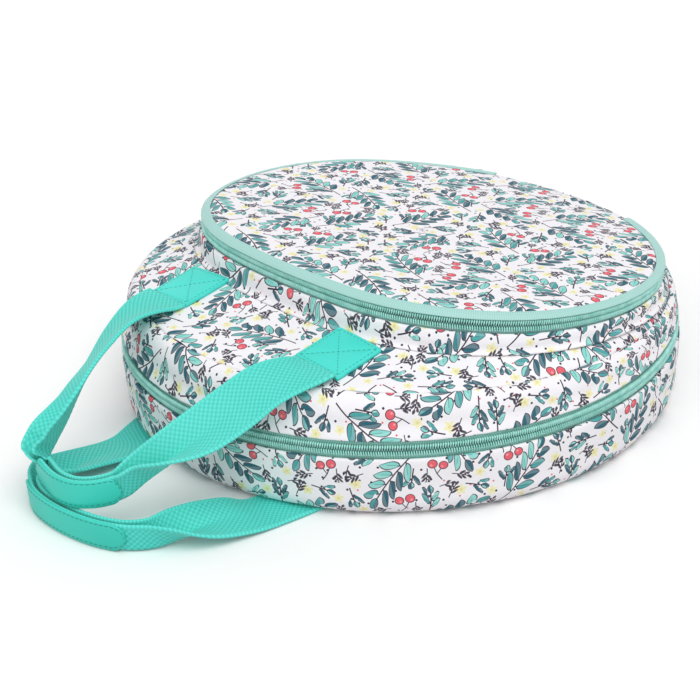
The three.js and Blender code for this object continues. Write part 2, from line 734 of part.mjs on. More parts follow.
// Room in the back panel for what lies under it: the patches and the first run of the webbing
function backGrooves(frames) {
  const half = webbingWidth / 2 + grooveGap
  const groove = (run) => loft(run.map(({ middle, across }) => {
    const side = across.clone().setZ(0).normalize()
    const corner = (w, z) => middle.clone().setZ(z).addScaledVector(side, w)
    return [corner(-half, -1), corner(half, -1), corner(half, grooveDepth), corner(-half, grooveDepth)]
  }))
  const straps = [groove(frames.slice(0, 11)), groove(frames.slice(-11))]
  const patches = [-1, 1].map((side) => {
    const x = (side * strapSpacing) / 2
    const wide = patchSize / 2 + grooveGap
    return block(x - wide, x + wide, patchMiddle - wide - 2, patchMiddle + wide, -1, grooveDepth)
  })
  return [...straps, ...patches]
}

const frontFrames = strapFrames(frontStrapPoints, frontStrapPoint)
const backFrames = strapFrames(backStrapPoints, backStrapPoint)
const grooves = backGrooves(backFrames)

add('back_panel', cut(backPanel(), grooves), 'print')
add('back_gusset', cut(backGusset(), grooves), 'print')
add('back_lining', backLining(), 'lining')
add('back_seam_binding', backSeamBinding(), 'tape')
add('main_zip_lower_tape', tapeStrip(wall.zip, -1, lowerTape + tapeUnderCloth), 'tape')
add('main_zip_lower_coil', coilStrip(wall.zip, -1), 'coil')
add('main_hinge_panel', hingeStrip(hingeHalfAngle, bagRadius, mainZipHeight - 11, mainZipHeight + 9), 'print')
add('front_gusset', frontGusset(), 'print')
add('front_panel', frontPanel(), 'print')
add('front_lining', frontLining(), 'lining')
add('front_seam_binding', frontSeamBinding(), 'tape')
add('main_zip_upper_tape', tapeStrip(wall.zip, 1, mainUpperTape + tapeUnderCloth / 2), 'tape')
add('main_zip_upper_coil', coilStrip(wall.zip, 1), 'coil')

for (const [side, place] of [[-1, 'left'], [1, 'right']]) {
  add(`back_patch_${place}`, backPatch(side), 'leather')
  add(`front_patch_${place}`, frontPatch(side), 'leather')
}

const pocket = new THREE.Group()
pocket.position.set(0, 0, pocketSlitHeight)
pocket.rotation.x = -pocketTilt
bag.add(pocket)

add('pocket_gusset', pocketGusset(), 'print', pocket)
add('pocket_lining', pocketLining(), 'lining', pocket)
add('pocket_zip_lower_tape', tapeStrip(rim.zip, -1, lowerTape + 1), 'tape', pocket)
add('pocket_zip_lower_coil', coilStrip(rim.zip, -1), 'coil', pocket)
add('pocket_hinge_panel', hingeStrip(pocketHingeHalfAngle, pocketRadius, -6, lid.height - 1.5), 'print', pocket)
add('pocket_lid_panel', lidPanel(), 'print', pocket)
add('pocket_lid_lining', lidLining(), 'lining', pocket)
add('pocket_zip_upper_tape', lidTape(), 'tape', pocket)
add('pocket_zip_upper_coil', coilStrip(rim.zip, 1), 'coil', pocket)

addSlider('main_zip_first', bag, bagRadius, mainZipHeight, mainSliderAngles.hingeSide, -1)
addSlider('main_zip_second', bag, bagRadius, mainZipHeight, mainSliderAngles.handleSide, 1)
addSlider('pocket_zip', pocket, pocketRadius, 0, pocketSliderAngle, 1)

add('front_handle_webbing', loft(frontFrames.map(webbingSection)), 'webbing')
add('front_handle_grip', grip(frontFrames.slice(16, 27)), 'leather')
add('back_handle_webbing', loft(backFrames.map(webbingSection)), 'webbing')
add('back_handle_grip', grip(backFrames.slice(16, 27)), 'leather')

export default bag
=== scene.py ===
import math

import bmesh
import bpy
from mathutils import Matrix, Vector, noise


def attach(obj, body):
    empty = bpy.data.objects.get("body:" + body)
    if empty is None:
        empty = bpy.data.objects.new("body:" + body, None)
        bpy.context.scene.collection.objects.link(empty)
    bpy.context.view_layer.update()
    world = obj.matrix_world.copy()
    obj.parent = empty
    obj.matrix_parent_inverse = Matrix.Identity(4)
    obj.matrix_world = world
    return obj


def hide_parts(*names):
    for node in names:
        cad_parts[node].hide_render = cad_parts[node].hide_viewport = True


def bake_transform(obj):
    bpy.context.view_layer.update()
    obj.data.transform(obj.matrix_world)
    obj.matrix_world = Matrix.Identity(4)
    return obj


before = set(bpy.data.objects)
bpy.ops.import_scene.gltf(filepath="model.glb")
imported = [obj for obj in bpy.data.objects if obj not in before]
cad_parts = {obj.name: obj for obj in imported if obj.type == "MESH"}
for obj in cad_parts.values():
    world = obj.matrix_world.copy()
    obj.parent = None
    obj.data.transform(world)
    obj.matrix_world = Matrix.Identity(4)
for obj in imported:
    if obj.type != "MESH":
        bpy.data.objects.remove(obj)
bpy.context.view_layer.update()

# Shapes are worked out in millimetres and brought to metres as each mesh is finished
mm = 0.001
weld = 0.004  # points nearer than this become one
fullTurn = 2 * math.pi
hingeSide = math.pi / 2  # +Y, where the cloth hinge is

bag = {
    "radius": 160,
    "zipHeight": 41,
    "backRound": 12,
    "cloth": 2.4,
    "backCloth": 3.6,
    "lining": 1,
    "seam": 0.35,
    "hingeHalf": math.radians(18),
    "zipEndGap": math.radians(1),
    "steps": 720,  # stations round the whole wall
    "faceSteps": 360,
    "bindingSteps": 480,
}
shoulder = {"height": 63.5, "fall": 0.045, "round": 9.5, "roundFall": 0.03}
floor = {"height": 70, "fall": 0.085}  # the front face under the pocket
pocket = {
    "radius": 151.5,
    "corner": 110,
    "handleArc": 390,
    "reach": 86,
    "height": 85.4,
    "tilt": 0.136,
    "drop": 3.6,  # the cloth settles by so much at the handles
    "hingeHalf": math.radians(20),
    "steps": 640,
    "faceSteps": 420,
    "lidMiddle": (0, 20),  # where the lid's rings close
}
lid = {"rise": 7.6, "slope": 0.0155, "sag": 1.8, "dome": 1.0, "crown": 0.5, "rim": -12}
tape = {
    "thickness": 0.8,
    "face": -2.7,
    "slit": 0.6,
    "hem": 4.85,
    "pocketHem": 4.2,
    "reach": 9.6,
    "pocketReach": 6.5,
    "corner": 0.3,
}
coil = {
    "height": 2.4,
    "depth": 2.1,
    "pitch": 1.3,
    "width": 0.86,
    "slant": 0.34,
    "reach": 0.42,
    "bevel": 0.27,
    "coreSteps": 360,
}


def lerp(a, b, share):
    return a + (b - a) * share


def clamped(value):
    return min(max(value, 0), 1)


def smooth(low, high, value):
    share = clamped((value - low) / (high - low))
    return share * share * (3 - 2 * share)


def waver(x, y, z):
    return noise.noise(Vector((x, y, z)))


def ripple(x, y, z, size):
    return waver(x / size, y / size, z / size)


def polar(r, a):
    return r * math.cos(a), r * math.sin(a)


def arc(cs, cz, radius, start, end, steps):
    angles = [math.radians(lerp(start, end, i / steps)) for i in range(steps + 1)]
    return [(cs + radius * math.cos(a), cz + radius * math.sin(a)) for a in angles]


def between(p, q, steps):  # points inside a straight run, without its ends
    return [tuple(lerp(a, b, i / steps) for a, b in zip(p, q)) for i in range(1, steps)]


# Seam lines. A line is a list of arcs (x, y, radius, from, to) that touch, and a station is a
# place along it, from which an offset s is measured square to the line, outwards


def rimLine():
    middle = pocket["handleArc"] - pocket["reach"]
    inHinge = pocket["radius"] - pocket["corner"]
    inHandle = pocket["handleArc"] - pocket["corner"]
    cy = (inHinge**2 - inHandle**2 + middle**2) / (2 * middle)
    cx = math.sqrt(inHinge**2 - cy**2)
    hingeJoint = math.atan2(cy, cx)
    handleJoint = math.atan2(cy - middle, cx)
    return [
        (0, 0, pocket["radius"], hingeSide, math.pi - hingeJoint),
        (-cx, cy, pocket["corner"], math.pi - hingeJoint, math.pi - handleJoint),
        (0, middle, pocket["handleArc"], math.pi - handleJoint, fullTurn + handleJoint),
        (cx, cy, pocket["corner"], fullTurn + handleJoint, fullTurn + hingeJoint),
        (0, 0, pocket["radius"], fullTurn + hingeJoint, fullTurn + hingeSide),
    ]


def lineLength(line):
    return sum(r * (to - start) for x, y, r, start, to in line)


def stationAt(line, along):
    left = along
    for x, y, r, start, to in line:
        if left <= r * (to - start) or (x, y, r, start, to) == line[-1]:
            break
        left -= r * (to - start)
    fromHinge = min(along, lineLength(line) - along) / line[0][2]
    return {"x": x, "y": y, "r": r, "a": start + left / r, "along": along, "fromHinge": fromHinge}


def ringStations(line, steps):
    return [stationAt(line, lineLength(line) * i / steps) for i in range(steps)]


def stripStations(line, fromHinge, steps):  # both ends stay that angle away from the hinge's middle
    start = fromHinge * line[0][2]
    return [stationAt(line, lerp(start, lineLength(line) - start, i / steps)) for i in range(steps + 1)]


def at(place, s, z, share=0, middle=(0, 0)):
    x, y = polar(place["r"] + s, place["a"])
    return Vector((lerp(place["x"] + x, middle[0], share), lerp(place["y"] + y, middle[1], share), z))


def settled(y):  # how far the pocket's zip has settled at a point y of the pocket's own frame
    return pocket["drop"] * smooth(100, -40, y)


def fromPocket(p):
    cos, sin = polar(1, pocket["tilt"])
    z = p.z - settled(p.y)
    return Vector((p.x, p.y * cos + z * sin, pocket["height"] - p.y * sin + z * cos))


def same(p):  # the body's own frame
    return p


wall = [(0, 0, bag["radius"], hingeSide, hingeSide + fullTurn)]
rim = rimLine()


def lidTop(y):  # the lid's rim above the slit: highest at the handles
    return lid["rise"] - lid["slope"] * (y + pocket["reach"])


def hingeSag(place):  # the rim sinks where it has no zip to hold it up
    return lid["sag"] * smooth(0.35, 0.12, place["fromHinge"])


# Heights of the front face


def floorInPocket(y):  # the floor below the slit's plane, at a point y of the pocket's own frame
    cos, sin = polar(1, pocket["tilt"])
    drop = floor["height"] - pocket["height"] + y * (sin - floor["fall"] * cos)
    return drop / (cos + floor["fall"] * sin) + settled(y)


def footPoints():
    points = []
    for place in ringStations(rim, 180):
        edge = at(place, 0, 0)
        p = fromPocket(Vector((edge.x, edge.y, floorInPocket(edge.y))))
        points.append((math.atan2(p.y, p.x) % fullTurn, math.hypot(p.x, p.y)))
    points.sort()
    first, last = points[0], points[-1]
    return [(last[0] - fullTurn, last[1]), *points, (first[0] + fullTurn, first[1])]


foot = footPoints()


def footReach(angle):
    a = angle % fullTurn
    guess = min(max(int(a / fullTurn * 180), 0), len(foot) - 2)
    while foot[guess][0] > a:
        guess -= 1
    while foot[guess + 1][0] < a:
        guess += 1
    (a0, r0), (a1, r1) = foot[guess], foot[guess + 1]
    return lerp(r0, r1, (a - a0) / (a1 - a0))


def shoulderAt(angle):
    y = bag["radius"] * math.sin(angle)
    return shoulder["height"] - shoulder["fall"] * y, shoulder["round"] - shoulder["roundFall"] * y


def seamReach(angle):
    return bag["radius"] - shoulderAt(angle)[1]


def faceHeight(x, y):
    angle = math.atan2(y, x)
    reach = seamReach(angle)
    start = min(footReach(angle), reach - 1)
    out = (math.hypot(x, y) - start) / (reach - start)
    if out <= 0:
        return floor["height"] - floor["fall"] * y
    top = floor["height"] - floor["fall"] * start * math.sin(angle)
    return lerp(top, shoulderAt(angle)[0], min(out, 1))


# Bodies of a closed section that runs along a line: a grid, rolled into a tube


def cumulated(points, closed=True):
    total = [0]
    for p, q in zip(points, points[1:] + points[:1] if closed else points[1:]):
        total.append(total[-1] + (q - p).length)
    return total


# The cloth's own coordinates are real lengths: along the line, and across it round the section
def sweep(outlines, ring=True, offset=(0, 0), values=None):
    steps, rows = len(outlines) - (not ring), len(outlines[0])
    middle = outlines[len(outlines) // 3]
    longest = max(range(rows), key=lambda row: middle[row].xy.length)
    alongs = cumulated([outline[longest] for outline in outlines], ring)
    acrosses = cumulated(middle)
    bm = bmesh.new()
    bmesh.ops.create_grid(bm, x_segments=steps, y_segments=rows, size=1)
    spots = [(round((v.co.x + 1) * steps / 2), round((v.co.y + 1) * rows / 2)) for v in bm.verts]
    bm.verts.index_update()
    layer = bm.loops.layers.uv.new("UVMap")
    for face in bm.faces:
        for loop in face.loops:
            step, row = spots[loop.vert.index]
            loop[layer].uv = ((alongs[step] + offset[0]) * mm, (acrosses[row] + offset[1]) * mm)
    extra = bm.verts.layers.float.new("weave") if values else None
    for v, (step, row) in zip(bm.verts, spots):
        v.co = outlines[step % len(outlines)][row % rows]
        if values:
            v[extra] = values[step % len(outlines)][row % rows]
    bmesh.ops.remove_doubles(bm, verts=bm.verts, dist=weld)
    if not ring:
        bmesh.ops.holes_fill(bm, edges=[e for e in bm.edges if e.is_boundary], sides=0)
    return bm


def layFlat(bm, offset=(0, 0), turn=0):
    layer = bm.loops.layers.uv.verify()
    cos, sin = polar(1, turn)
    for face in bm.faces:
        for loop in face.loops:
            x, y = loop.vert.co.x, loop.vert.co.y
            loop[layer].uv = ((x * cos - y * sin + offset[0]) * mm, (x * sin + y * cos + offset[1]) * mm)


def finished(name, bm, look, body, nodes=(), recalc=True):  # a look is a material and its slot
    material, slot = look
    bmesh.ops.remove_doubles(bm, verts=bm.verts, dist=weld)
    if recalc:
        bmesh.ops.recalc_face_normals(bm, faces=bm.faces)
    bmesh.ops.scale(bm, vec=(mm, mm, mm), verts=bm.verts)
    for face in bm.faces:
        face.smooth = True
    mesh = bpy.data.meshes.new(name)
    bm.to_mesh(mesh)
    bm.free()
    piece = bpy.data.objects.new(name, mesh)
    bpy.context.scene.collection.objects.link(piece)
    mesh.materials.append(material)
    if body:
        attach(piece, body)
    if nodes:
        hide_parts(*nodes)
    return piece


# A piece through one closed outline per station. Its cloth is cut at an offset and, laid flat, a turn
def loft(name, places, outlineOf, look, body, node, offset=(0, 0), turn=None, ring=True, toPart=same):
    bm = sweep([outlineOf(place) for place in places], ring, offset)
    if turn is not None:
        layFlat(bm, offset, turn)
    for v in bm.verts:
        v.co = toPart(v.co)
    return finished(name, bm, look, body, [node] if node else ())


def bevelled(bm, edges, offset, segments):
    return bmesh.ops.bevel(
        bm, geom=edges, offset=offset, segments=segments, profile=0.5, affect="EDGES", material=-1
    )


# Camera, as the photograph was taken

shot = {
    "position": (0.77008, -0.72986, 0.55970),
    "forward": (-0.66313, 0.59487, -0.45429),
    "up": (-0.30583, 0.33862, 0.88983),
    "lens": 105.3,
    "sensor": 36,
}


def makeCamera():
    data = bpy.data.cameras.new("camera")
    data.lens = shot["lens"]
    data.sensor_width = shot["sensor"]
    data.clip_start, data.clip_end = 0.05, 20
    camera = bpy.data.objects.new("camera", data)
    back = -Vector(shot["forward"]).normalized()
    right = Vector(shot["up"]).cross(back).normalized()
    camera.matrix_world = Matrix.Translation(shot["position"]) @ Matrix(
        (right, back.cross(right), back)
    ).transposed().to_4x4()
    bpy.context.scene.collection.objects.link(camera)
    bpy.context.scene.camera = camera


makeCamera()
print("camera set")


# Node trees are written as formulas: a Wire is a value on its way through one


class Wire:
    def __init__(self, tree, socket):
        self.tree = tree
        self.socket = socket

    def math(self, operation, *others):
        node = self.tree.nodes.new("ShaderNodeMath")
        node.operation = operation
        for slot, value in zip(node.inputs, (self, *others)):
            plug(self.tree, slot, value)
        return Wire(self.tree, node.outputs[0])

    def __add__(self, other):
        return self.math("ADD", other)

    def __sub__(self, other):
        return self.math("SUBTRACT", other)

    def __mul__(self, other):
        return self.math("MULTIPLY", other)

    def __truediv__(self, other):
        return self.math("DIVIDE", other)

    def __rsub__(self, other):
        return (self * -1).math("ADD", other)

    __radd__ = __add__
    __rmul__ = __mul__

    def above(self, edge, soft=0.08):  # 0 below an edge and 1 above it, with a soft step
        value, centre = (self - edge, 0) if isinstance(edge, Wire) else (self, edge)
        return ranged(self.tree, value, centre - soft, centre + soft, "SMOOTHSTEP")


def plug(tree, slot, value):
    if isinstance(value, Wire):
        tree.links.new(value.socket, slot)
    else:
        slot.default_value = value


def ranged(tree, value, low, high, kind="LINEAR"):
    node = tree.nodes.new("ShaderNodeMapRange")
    node.interpolation_type = kind
    for slot, part in zip(("Value", "From Min", "From Max"), (value, low, high)):
        plug(tree, node.inputs[slot], part)
    return Wire(tree, node.outputs["Result"])


def nodeGroup(name, inputs, outputs):
    group = bpy.data.node_groups.new(name, "ShaderNodeTree")
    for label, value in inputs:
        kind = "NodeSocketVector" if value is None else "NodeSocketFloat"
        socket = group.interface.new_socket(label, in_out="INPUT", socket_type=kind)
        if value is not None:
            socket.default_value = value
    for label in outputs:
        kind = "NodeSocketColor" if label == "Color" else "NodeSocketFloat"
        group.interface.new_socket(label, in_out="OUTPUT", socket_type=kind)
    source = group.nodes.new("NodeGroupInput")
    sink = group.nodes.new("NodeGroupOutput")
    return group, [Wire(group, socket) for socket in source.outputs[: len(inputs)]], sink


def useGroup(tree, group, values):
    node = tree.nodes.new("ShaderNodeGroup")
    node.node_tree = group
    for label, value in values.items():
        plug(tree, node.inputs[label], value)
    return {output.name: Wire(tree, output) for output in node.outputs}


def split(tree, vector):
    node = tree.nodes.new("ShaderNodeSeparateXYZ")
    plug(tree, node.inputs[0], vector)
    return [Wire(tree, output) for output in node.outputs]


def combined(tree, x, y, z=0):
    node = tree.nodes.new("ShaderNodeCombineXYZ")
    for slot, value in zip(node.inputs, (x, y, z)):
        plug(tree, slot, value)
    return Wire(tree, node.outputs[0])


def randomOf(tree, x, y, z):  # three random values that change from cell to cell
    node = tree.nodes.new("ShaderNodeTexWhiteNoise")
    node.noise_dimensions = "3D"
    plug(tree, node.inputs["Vector"], combined(tree, x, y, z))
    return split(tree, Wire(tree, node.outputs["Color"]))


def cloudOf(tree, place, scale, detail):  # soft noise, around 0.5
    node = tree.nodes.new("ShaderNodeTexNoise")
    plug(tree, node.inputs["Vector"], place)
    node.inputs["Scale"].default_value = scale
    node.inputs["Detail"].default_value = detail
    return Wire(tree, node.outputs[0])


def mixed(tree, share, a, b):
    node = tree.nodes.new("ShaderNodeMix")
    node.data_type = "RGBA"
    plug(tree, node.inputs[0], share)
    plug(tree, node.inputs[6], a)
    plug(tree, node.inputs[7], b)
    return Wire(tree, node.outputs[2])


def chosen(share, a, b):  # a where share is 0, and b where it is 1
    return a + (b - a) * share


def linear(hexColour):
    channels = [int(hexColour[i : i + 2], 16) / 255 for i in (1, 3, 5)]
    return (*[c / 12.92 if c <= 0.04045 else ((c + 0.055) / 1.055) ** 2.4 for c in channels], 1)


# The print: leafy sprigs, berries, ferns, five-petalled flowers and dots in a half-drop lattice

printed = {
    "ground": "#F8F6FA",
    "darkLeaf": "#1D6473",
    "midLeaf": "#4AA8A8",
    "mintLeaf": "#86D9D0",
    "line": "#30283A",
    "berry": "#EE6470",
    "berryLight": "#F9A3A4",
    "flower": "#F6F1BE",
    "flowerHeart": "#EDE0A2",
    "scale": 1.22,
    "cell": 33.0,
    "dotPitch": 5.3,
    "dotShift": 3.4,
    "flowers": (((11.2, 0.4), 2.7), ((8.6, 14.0), 2.4), ((-4.8, -14.0), 2.2)),
    "ferns": (
        ((7.8, -5.0), 20, 6.4), ((-13.9, 9.6), 88, 6.2), ((-3.4, 13.2), 8, 6.4), ((13.8, -8.8), 70, 5.0),
    ),
    # Each spray's place and turn, then its stem, pitch, leaf length, leaf width, lean and bend
    "sprays": (
        ((-0.8, -13.2), 7, (11.0, 3.6, 5.4, 1.05, 0.72, -0.006)),
        ((-13.4, -7.4), 82, (6.5, 3.1, 5.0, 1.05, 0.8, 0.0)),
        ((14.0, 2.4), 102, (6.5, 3.2, 5.2, 1.05, 0.75, 0.01)),
        ((-15.2, -15.8), 43, (27.8, 5.5, 8.8, 1.6, 0.86, 0.006)),
    ),
    "berries": (
        ((-7.6, 15.8), (-9.8, 12.6), (((-11.6, 7.6), 1.85), ((-7.0, 8.6), 1.7))),
    ),
}


sprayShape = ("Stem", "Pitch", "Leaf", "Width", "Lean", "Bend")


# A stem with paired almond leaves. x runs up the stem from its foot, in millimetres
def makeSprayGroup():
    inputs = [("X", 0.0), ("Y", 0.0), ("Seed", 0.0), *zip(sprayShape, (26.0, 6.6, 10.0, 2.7, 0.75, 0.008))]
    inputs.append(("Line", 0.4))
    group, wires, sink = nodeGroup("leafSpray", inputs, ["Fill", "Ink", "Tone", "Half"])
    x, y, seed, stem, pitch, leaf, width, lean, bend, line = wires
    y = y - x * x * bend
    side = y.math("SIGN")
    off = y.math("ABSOLUTE")
    sin, cos = lean.math("SINE"), lean.math("COSINE")
    along = off / sin
    start = x - off * cos / sin
    shifted = start / pitch + side * 0.25
    number = shifted.math("FLOOR")
    across = (shifted.math("FRACT") - 0.5) * pitch * sin
    count = (stem / pitch).math("FLOOR") - 1
    onStem = number.above(0.5, 0.01) * (1 - number.above(count + 0.5, 0.01))
    length = leaf * (1.08 - number / (count + 2) * 0.42)
    tip = x.above(stem - 0.3, 0.01) * (1 - off.above(width + line, 0.01))
    along = chosen(tip, along, x - stem)
    across = chosen(tip, across, y)
    valid = onStem.math("MAXIMUM", tip)
    petiole = leaf * 0.12

    def leafWidth(grown):
        t = ((along - petiole + grown) / (length + grown * 2)).math("MAXIMUM", 0.0).math("MINIMUM", 1.0)
        swell = (t * (1 - t) * 4).math("POWER", 0.85) * (1.16 - t * 0.32)
        return swell * (width + grown)

    acrossSize = across.math("ABSOLUTE")
    fill = leafWidth(0).above(acrossSize + 0.04) * valid
    outer = leafWidth(line).above(acrossSize + 0.04) * valid
    onPetiole = (1 - acrossSize.above(line * 0.6)) * along.above(0.0) * (1 - along.above(petiole * 1.6))
    vein = (1 - acrossSize.above(line * 0.32)) * along.above(petiole) * (1 - along.above(length * 0.74))
    onBranch = (1 - off.above(line * 0.75)) * x.above(0.0) * (1 - x.above(stem + 0.4))
    ink = (outer - fill).math("MAXIMUM", onPetiole * valid).math("MAXIMUM", onBranch)
    ink = ink.math("MAXIMUM", vein * valid * 0.55).math("MINIMUM", 1.0)
    tone = randomOf(group, number + tip * 31, side * (1 - tip), seed * 57.3)[0]
    for slot, value in zip(sink.inputs, (fill, ink, tone, across.above(0.0))):
        plug(group, slot, value)
    return group


def placedAt(x, y, spot, degrees):  # a motif's own coordinates
    cos, sin = polar(1, math.radians(degrees))
    dx, dy = x - spot[0], y - spot[1]
    return dx * cos + dy * sin, dy * cos - dx * sin


def disc(x, y, spot, radius, soft=0.08):
    dx, dy = x - spot[0], y - spot[1]
    return 1 - (dx * dx + dy * dy).math("SQRT").above(radius, soft)


def stroke(x, y, start, end, half):  # a short straight line of ink
    length = math.dist(start, end)
    degrees = math.degrees(math.atan2(end[1] - start[1], end[0] - start[0]))
    u, v = placedAt(x, y, start, degrees)
    return (1 - v.math("ABSOLUTE").above(half)) * u.above(0) * (1 - u.above(length))


def leafColours(tree, colour, spray):
    tone = spray["Tone"]
    leaf = mixed(tree, tone.above(0.46, 0.01), linear(printed["darkLeaf"]), linear(printed["midLeaf"]))
    leaf = mixed(tree, tone.above(0.74, 0.01), leaf, linear(printed["mintLeaf"]))
    leaf = mixed(tree, spray["Half"] * 0.12, leaf, linear("#FFFFFF"))
    colour = mixed(tree, spray["Fill"], colour, leaf)
    return mixed(tree, spray["Ink"], colour, linear(printed["line"]))


def leafSpray(group, sprayGroup, a, b, spot, turn, shape, extra):
    x, y = placedAt(a, b, spot, turn)
    return useGroup(group, sprayGroup, {"X": x, "Y": y, **dict(zip(sprayShape, shape)), **extra})


def makePrintGroup(sprayGroup):
    group, (vector,), sink = nodeGroup("sprigPrint", [("Vector", None)], ["Color"])
    x, y, z = split(group, vector)
    x, y = x / printed["scale"], y / printed["scale"]
    cell = printed["cell"]
    column = (x / cell).math("FLOOR")
    level = y / cell + (column * 0.5).math("FRACT")
    row = level.math("FLOOR")
    u = ((x / cell).math("FRACT") - 0.5) * cell
    v = (level.math("FRACT") - 0.5) * cell
    r0, r1, r2 = randomOf(group, column, row, 3)
    swap = r0.above(0.5, 0.001)
    a = chosen(swap, u, v) * ((r1 - 0.5).math("SIGN"))
    b = chosen(swap, v, u) * ((r2 - 0.5).math("SIGN"))
    pick = randomOf(group, column, row, 9)

    def inked(colour, share, name):
        return mixed(group, share, colour, linear(printed[name]))

    # Dots lie under the rest
    pitch, shift = printed["dotPitch"], printed["dotShift"]
    column, row = x / pitch, y / pitch
    dot = randomOf(group, column.math("FLOOR"), row.math("FLOOR"), 5)
    dx = (column.math("FRACT") - 0.5) * pitch - (dot[0] - 0.5) * shift
    dy = (row.math("FRACT") - 0.5) * pitch - (dot[1] - 0.5) * shift
    size = (dx * dx + dy * dy).math("SQRT")
    dots = (1 - size.above(0.55, 0.12)) * dot[2].above(0.5, 0.01)
    colour = inked(linear(printed["ground"]), dots, "line")
    pinkDots = (1 - size.above(0.45, 0.12)) * (1 - dot[2].above(0.2, 0.01))
    colour = inked(colour, pinkDots, "berry")

    # Five-petalled flowers
    for spot, radius in printed["flowers"]:
        fx, fy = a - spot[0], b - spot[1]
        away = (fx * fx + fy * fy).math("SQRT")
        petals = (fy.math("ARCTAN2", fx) * 5).math("COSINE") * 0.22 + 0.8
        colour = inked(colour, (petals * radius).above(away, 0.15), "flower")
        colour = inked(colour, 1 - away.above(radius * 0.28, 0.12), "flowerHeart")

    # Small ferns, all in ink
    for spot, turn, stem in printed["ferns"]:
        shape = (stem, 2.0, 2.7, 0.42, 0.85, 0.02)
        fern = leafSpray(group, sprayGroup, a, b, spot, turn, shape, {"Line": 0.3})
        colour = inked(colour, fern["Fill"].math("MAXIMUM", fern["Ink"]), "line")

    # Sprays of leaves: a large one on the cell's diagonal, and smaller ones beside it
    for k, (spot, turn, shape) in enumerate(printed["sprays"]):
        spray = leafSpray(group, sprayGroup, a, b, spot, turn, shape, {"Seed": pick[k % 3] + k})
        colour = leafColours(group, colour, spray)

    # Berries on forked stalks
    for root, fork, berries in printed["berries"]:
        colour = inked(colour, stroke(a, b, root, fork, 0.24), "line")
        for spot, radius in berries:
            ink = stroke(a, b, fork, spot, 0.22).math("MAXIMUM", disc(a, b, spot, radius + 0.36))
            colour = inked(inked(colour, ink, "line"), disc(a, b, spot, radius), "berry")
            shine = (spot[0] - radius * 0.3, spot[1] + radius * 0.34)
            colour = inked(colour, disc(a, b, shine, radius * 0.3, 0.2), "berryLight")
    plug(group, sink.inputs["Color"], colour)
    return group


# Plain weave: threads that go over and under each other, as a height
def makeWeaveGroup():
    inputs = [("Vector", None), ("Pitch", 0.5)]
    group, (vector, pitch), sink = nodeGroup("plainWeave", inputs, ["Height", "Slub"])
    x, y, z = split(group, vector)
    u, v = x / pitch, y / pitch
    over = ((u.math("FLOOR") + v.math("FLOOR")) * 0.5).math("FRACT").above(0.25, 0.01)
    warp = (u.math("FRACT") * math.pi).math("SINE")
    weft = (v.math("FRACT") * math.pi).math("SINE")
    height = chosen(over, warp * 0.7, weft * 0.7) + warp * weft * 0.3
    plug(group, sink.inputs["Height"], height)
    plug(group, sink.inputs["Slub"], cloudOf(group, combined(group, x * 0.9, y * 0.12, z), 1, 3))
    return group


# Soft uneven tone, in wide and in narrow patches, for anything handled and stored
def makeWearGroup():
    group, (vector,), sink = nodeGroup("handledTone", [("Vector", None)], ["Wide", "Narrow"])
    plug(group, sink.inputs["Wide"], cloudOf(group, vector, 14, 2))
    plug(group, sink.inputs["Narrow"], cloudOf(group, vector, 260, 4))
    return group


sprayGroup = makeSprayGroup()
printGroup = makePrintGroup(sprayGroup)
weaveGroup = makeWeaveGroup()
wearGroup = makeWearGroup()


def newMaterial(name, roughness, settings=()):
    material = bpy.data.materials.new(name)
    material.use_nodes = True
    tree = material.node_tree
    shader = tree.nodes["Principled BSDF"]
    for label, value in (("Roughness", roughness), *settings):
        shader.inputs[label].default_value = value
    return material, tree, shader


def clothPlace(tree):  # the piece's own cloth coordinates, in millimetres
    source = tree.nodes.new("ShaderNodeUVMap")
    source.uv_map = "UVMap"
    x, y, z = split(tree, Wire(tree, source.outputs[0]))
    return x / mm, y / mm


def objectPlace(tree):
    return Wire(tree, tree.nodes.new("ShaderNodeTexCoord").outputs["Object"])


def wearOf(tree):
    return useGroup(tree, wearGroup, {"Vector": objectPlace(tree)})


def sineOf(value):  # a sine of one turn for each 1 of the value, brought to 0 to 1
    return (value * fullTurn).math("SINE") * 0.5 + 0.5


def painted(tree, shader, colour, roughness=None):
    plug(tree, shader.inputs["Base Color"], colour)
    if roughness:
        plug(tree, shader.inputs["Roughness"], roughness)


def bumped(tree, shader, height, strength, distance):
    bump = tree.nodes.new("ShaderNodeBump")
    bump.inputs["Strength"].default_value = strength
    bump.inputs["Distance"].default_value = distance
    plug(tree, bump.inputs["Height"], height)
    plug(tree, shader.inputs["Normal"], Wire(tree, bump.outputs[0]))


def toned(tree, tone, dark, light):  # dark or light, or between them, as a tone says
    return mixed(tree, ranged(tree, tone, 0.3, 0.7), linear(dark), linear(light))


def wovenCloth(name, roughness, specular, pitch):
    material, tree, shader = newMaterial(name, roughness, [("Specular IOR Level", specular)])
    place = combined(tree, *clothPlace(tree))
    return material, tree, shader, place, useGroup(tree, weaveGroup, {"Vector": place, "Pitch": pitch})


def printMaterial():
    material, tree, shader, place, weave = wovenCloth("printedCotton", 0.82, 0.25, 0.42)
    colour = useGroup(tree, printGroup, {"Vector": place})["Color"]
    colour = mixed(tree, wearOf(tree)["Wide"].above(0.62, 0.3) * 0.05, colour, linear("#CFCBD6"))
    # The weave's low places are painted darker: painted shade between the threads
    painted(tree, shader, mixed(tree, (1 - weave["Height"]) * 0.07, colour, linear("#8D8A98")))
    bumped(tree, shader, weave["Height"] * 0.7 + weave["Slub"] * 0.6, 0.35, 0.00012)
    return material


def liningMaterial():
    material, tree, shader, place, weave = wovenCloth("plainLining", 0.88, 0.2, 0.5)
    colour = toned(tree, weave["Slub"], "#DCD9D3", "#EFEDE8")
    # The weave's low places are painted darker: painted shade between the threads
    painted(tree, shader, mixed(tree, (1 - weave["Height"]) * 0.16, colour, linear("#B9B5AD")))
    bumped(tree, shader, weave["Height"], 0.5, 0.00015)
    return material


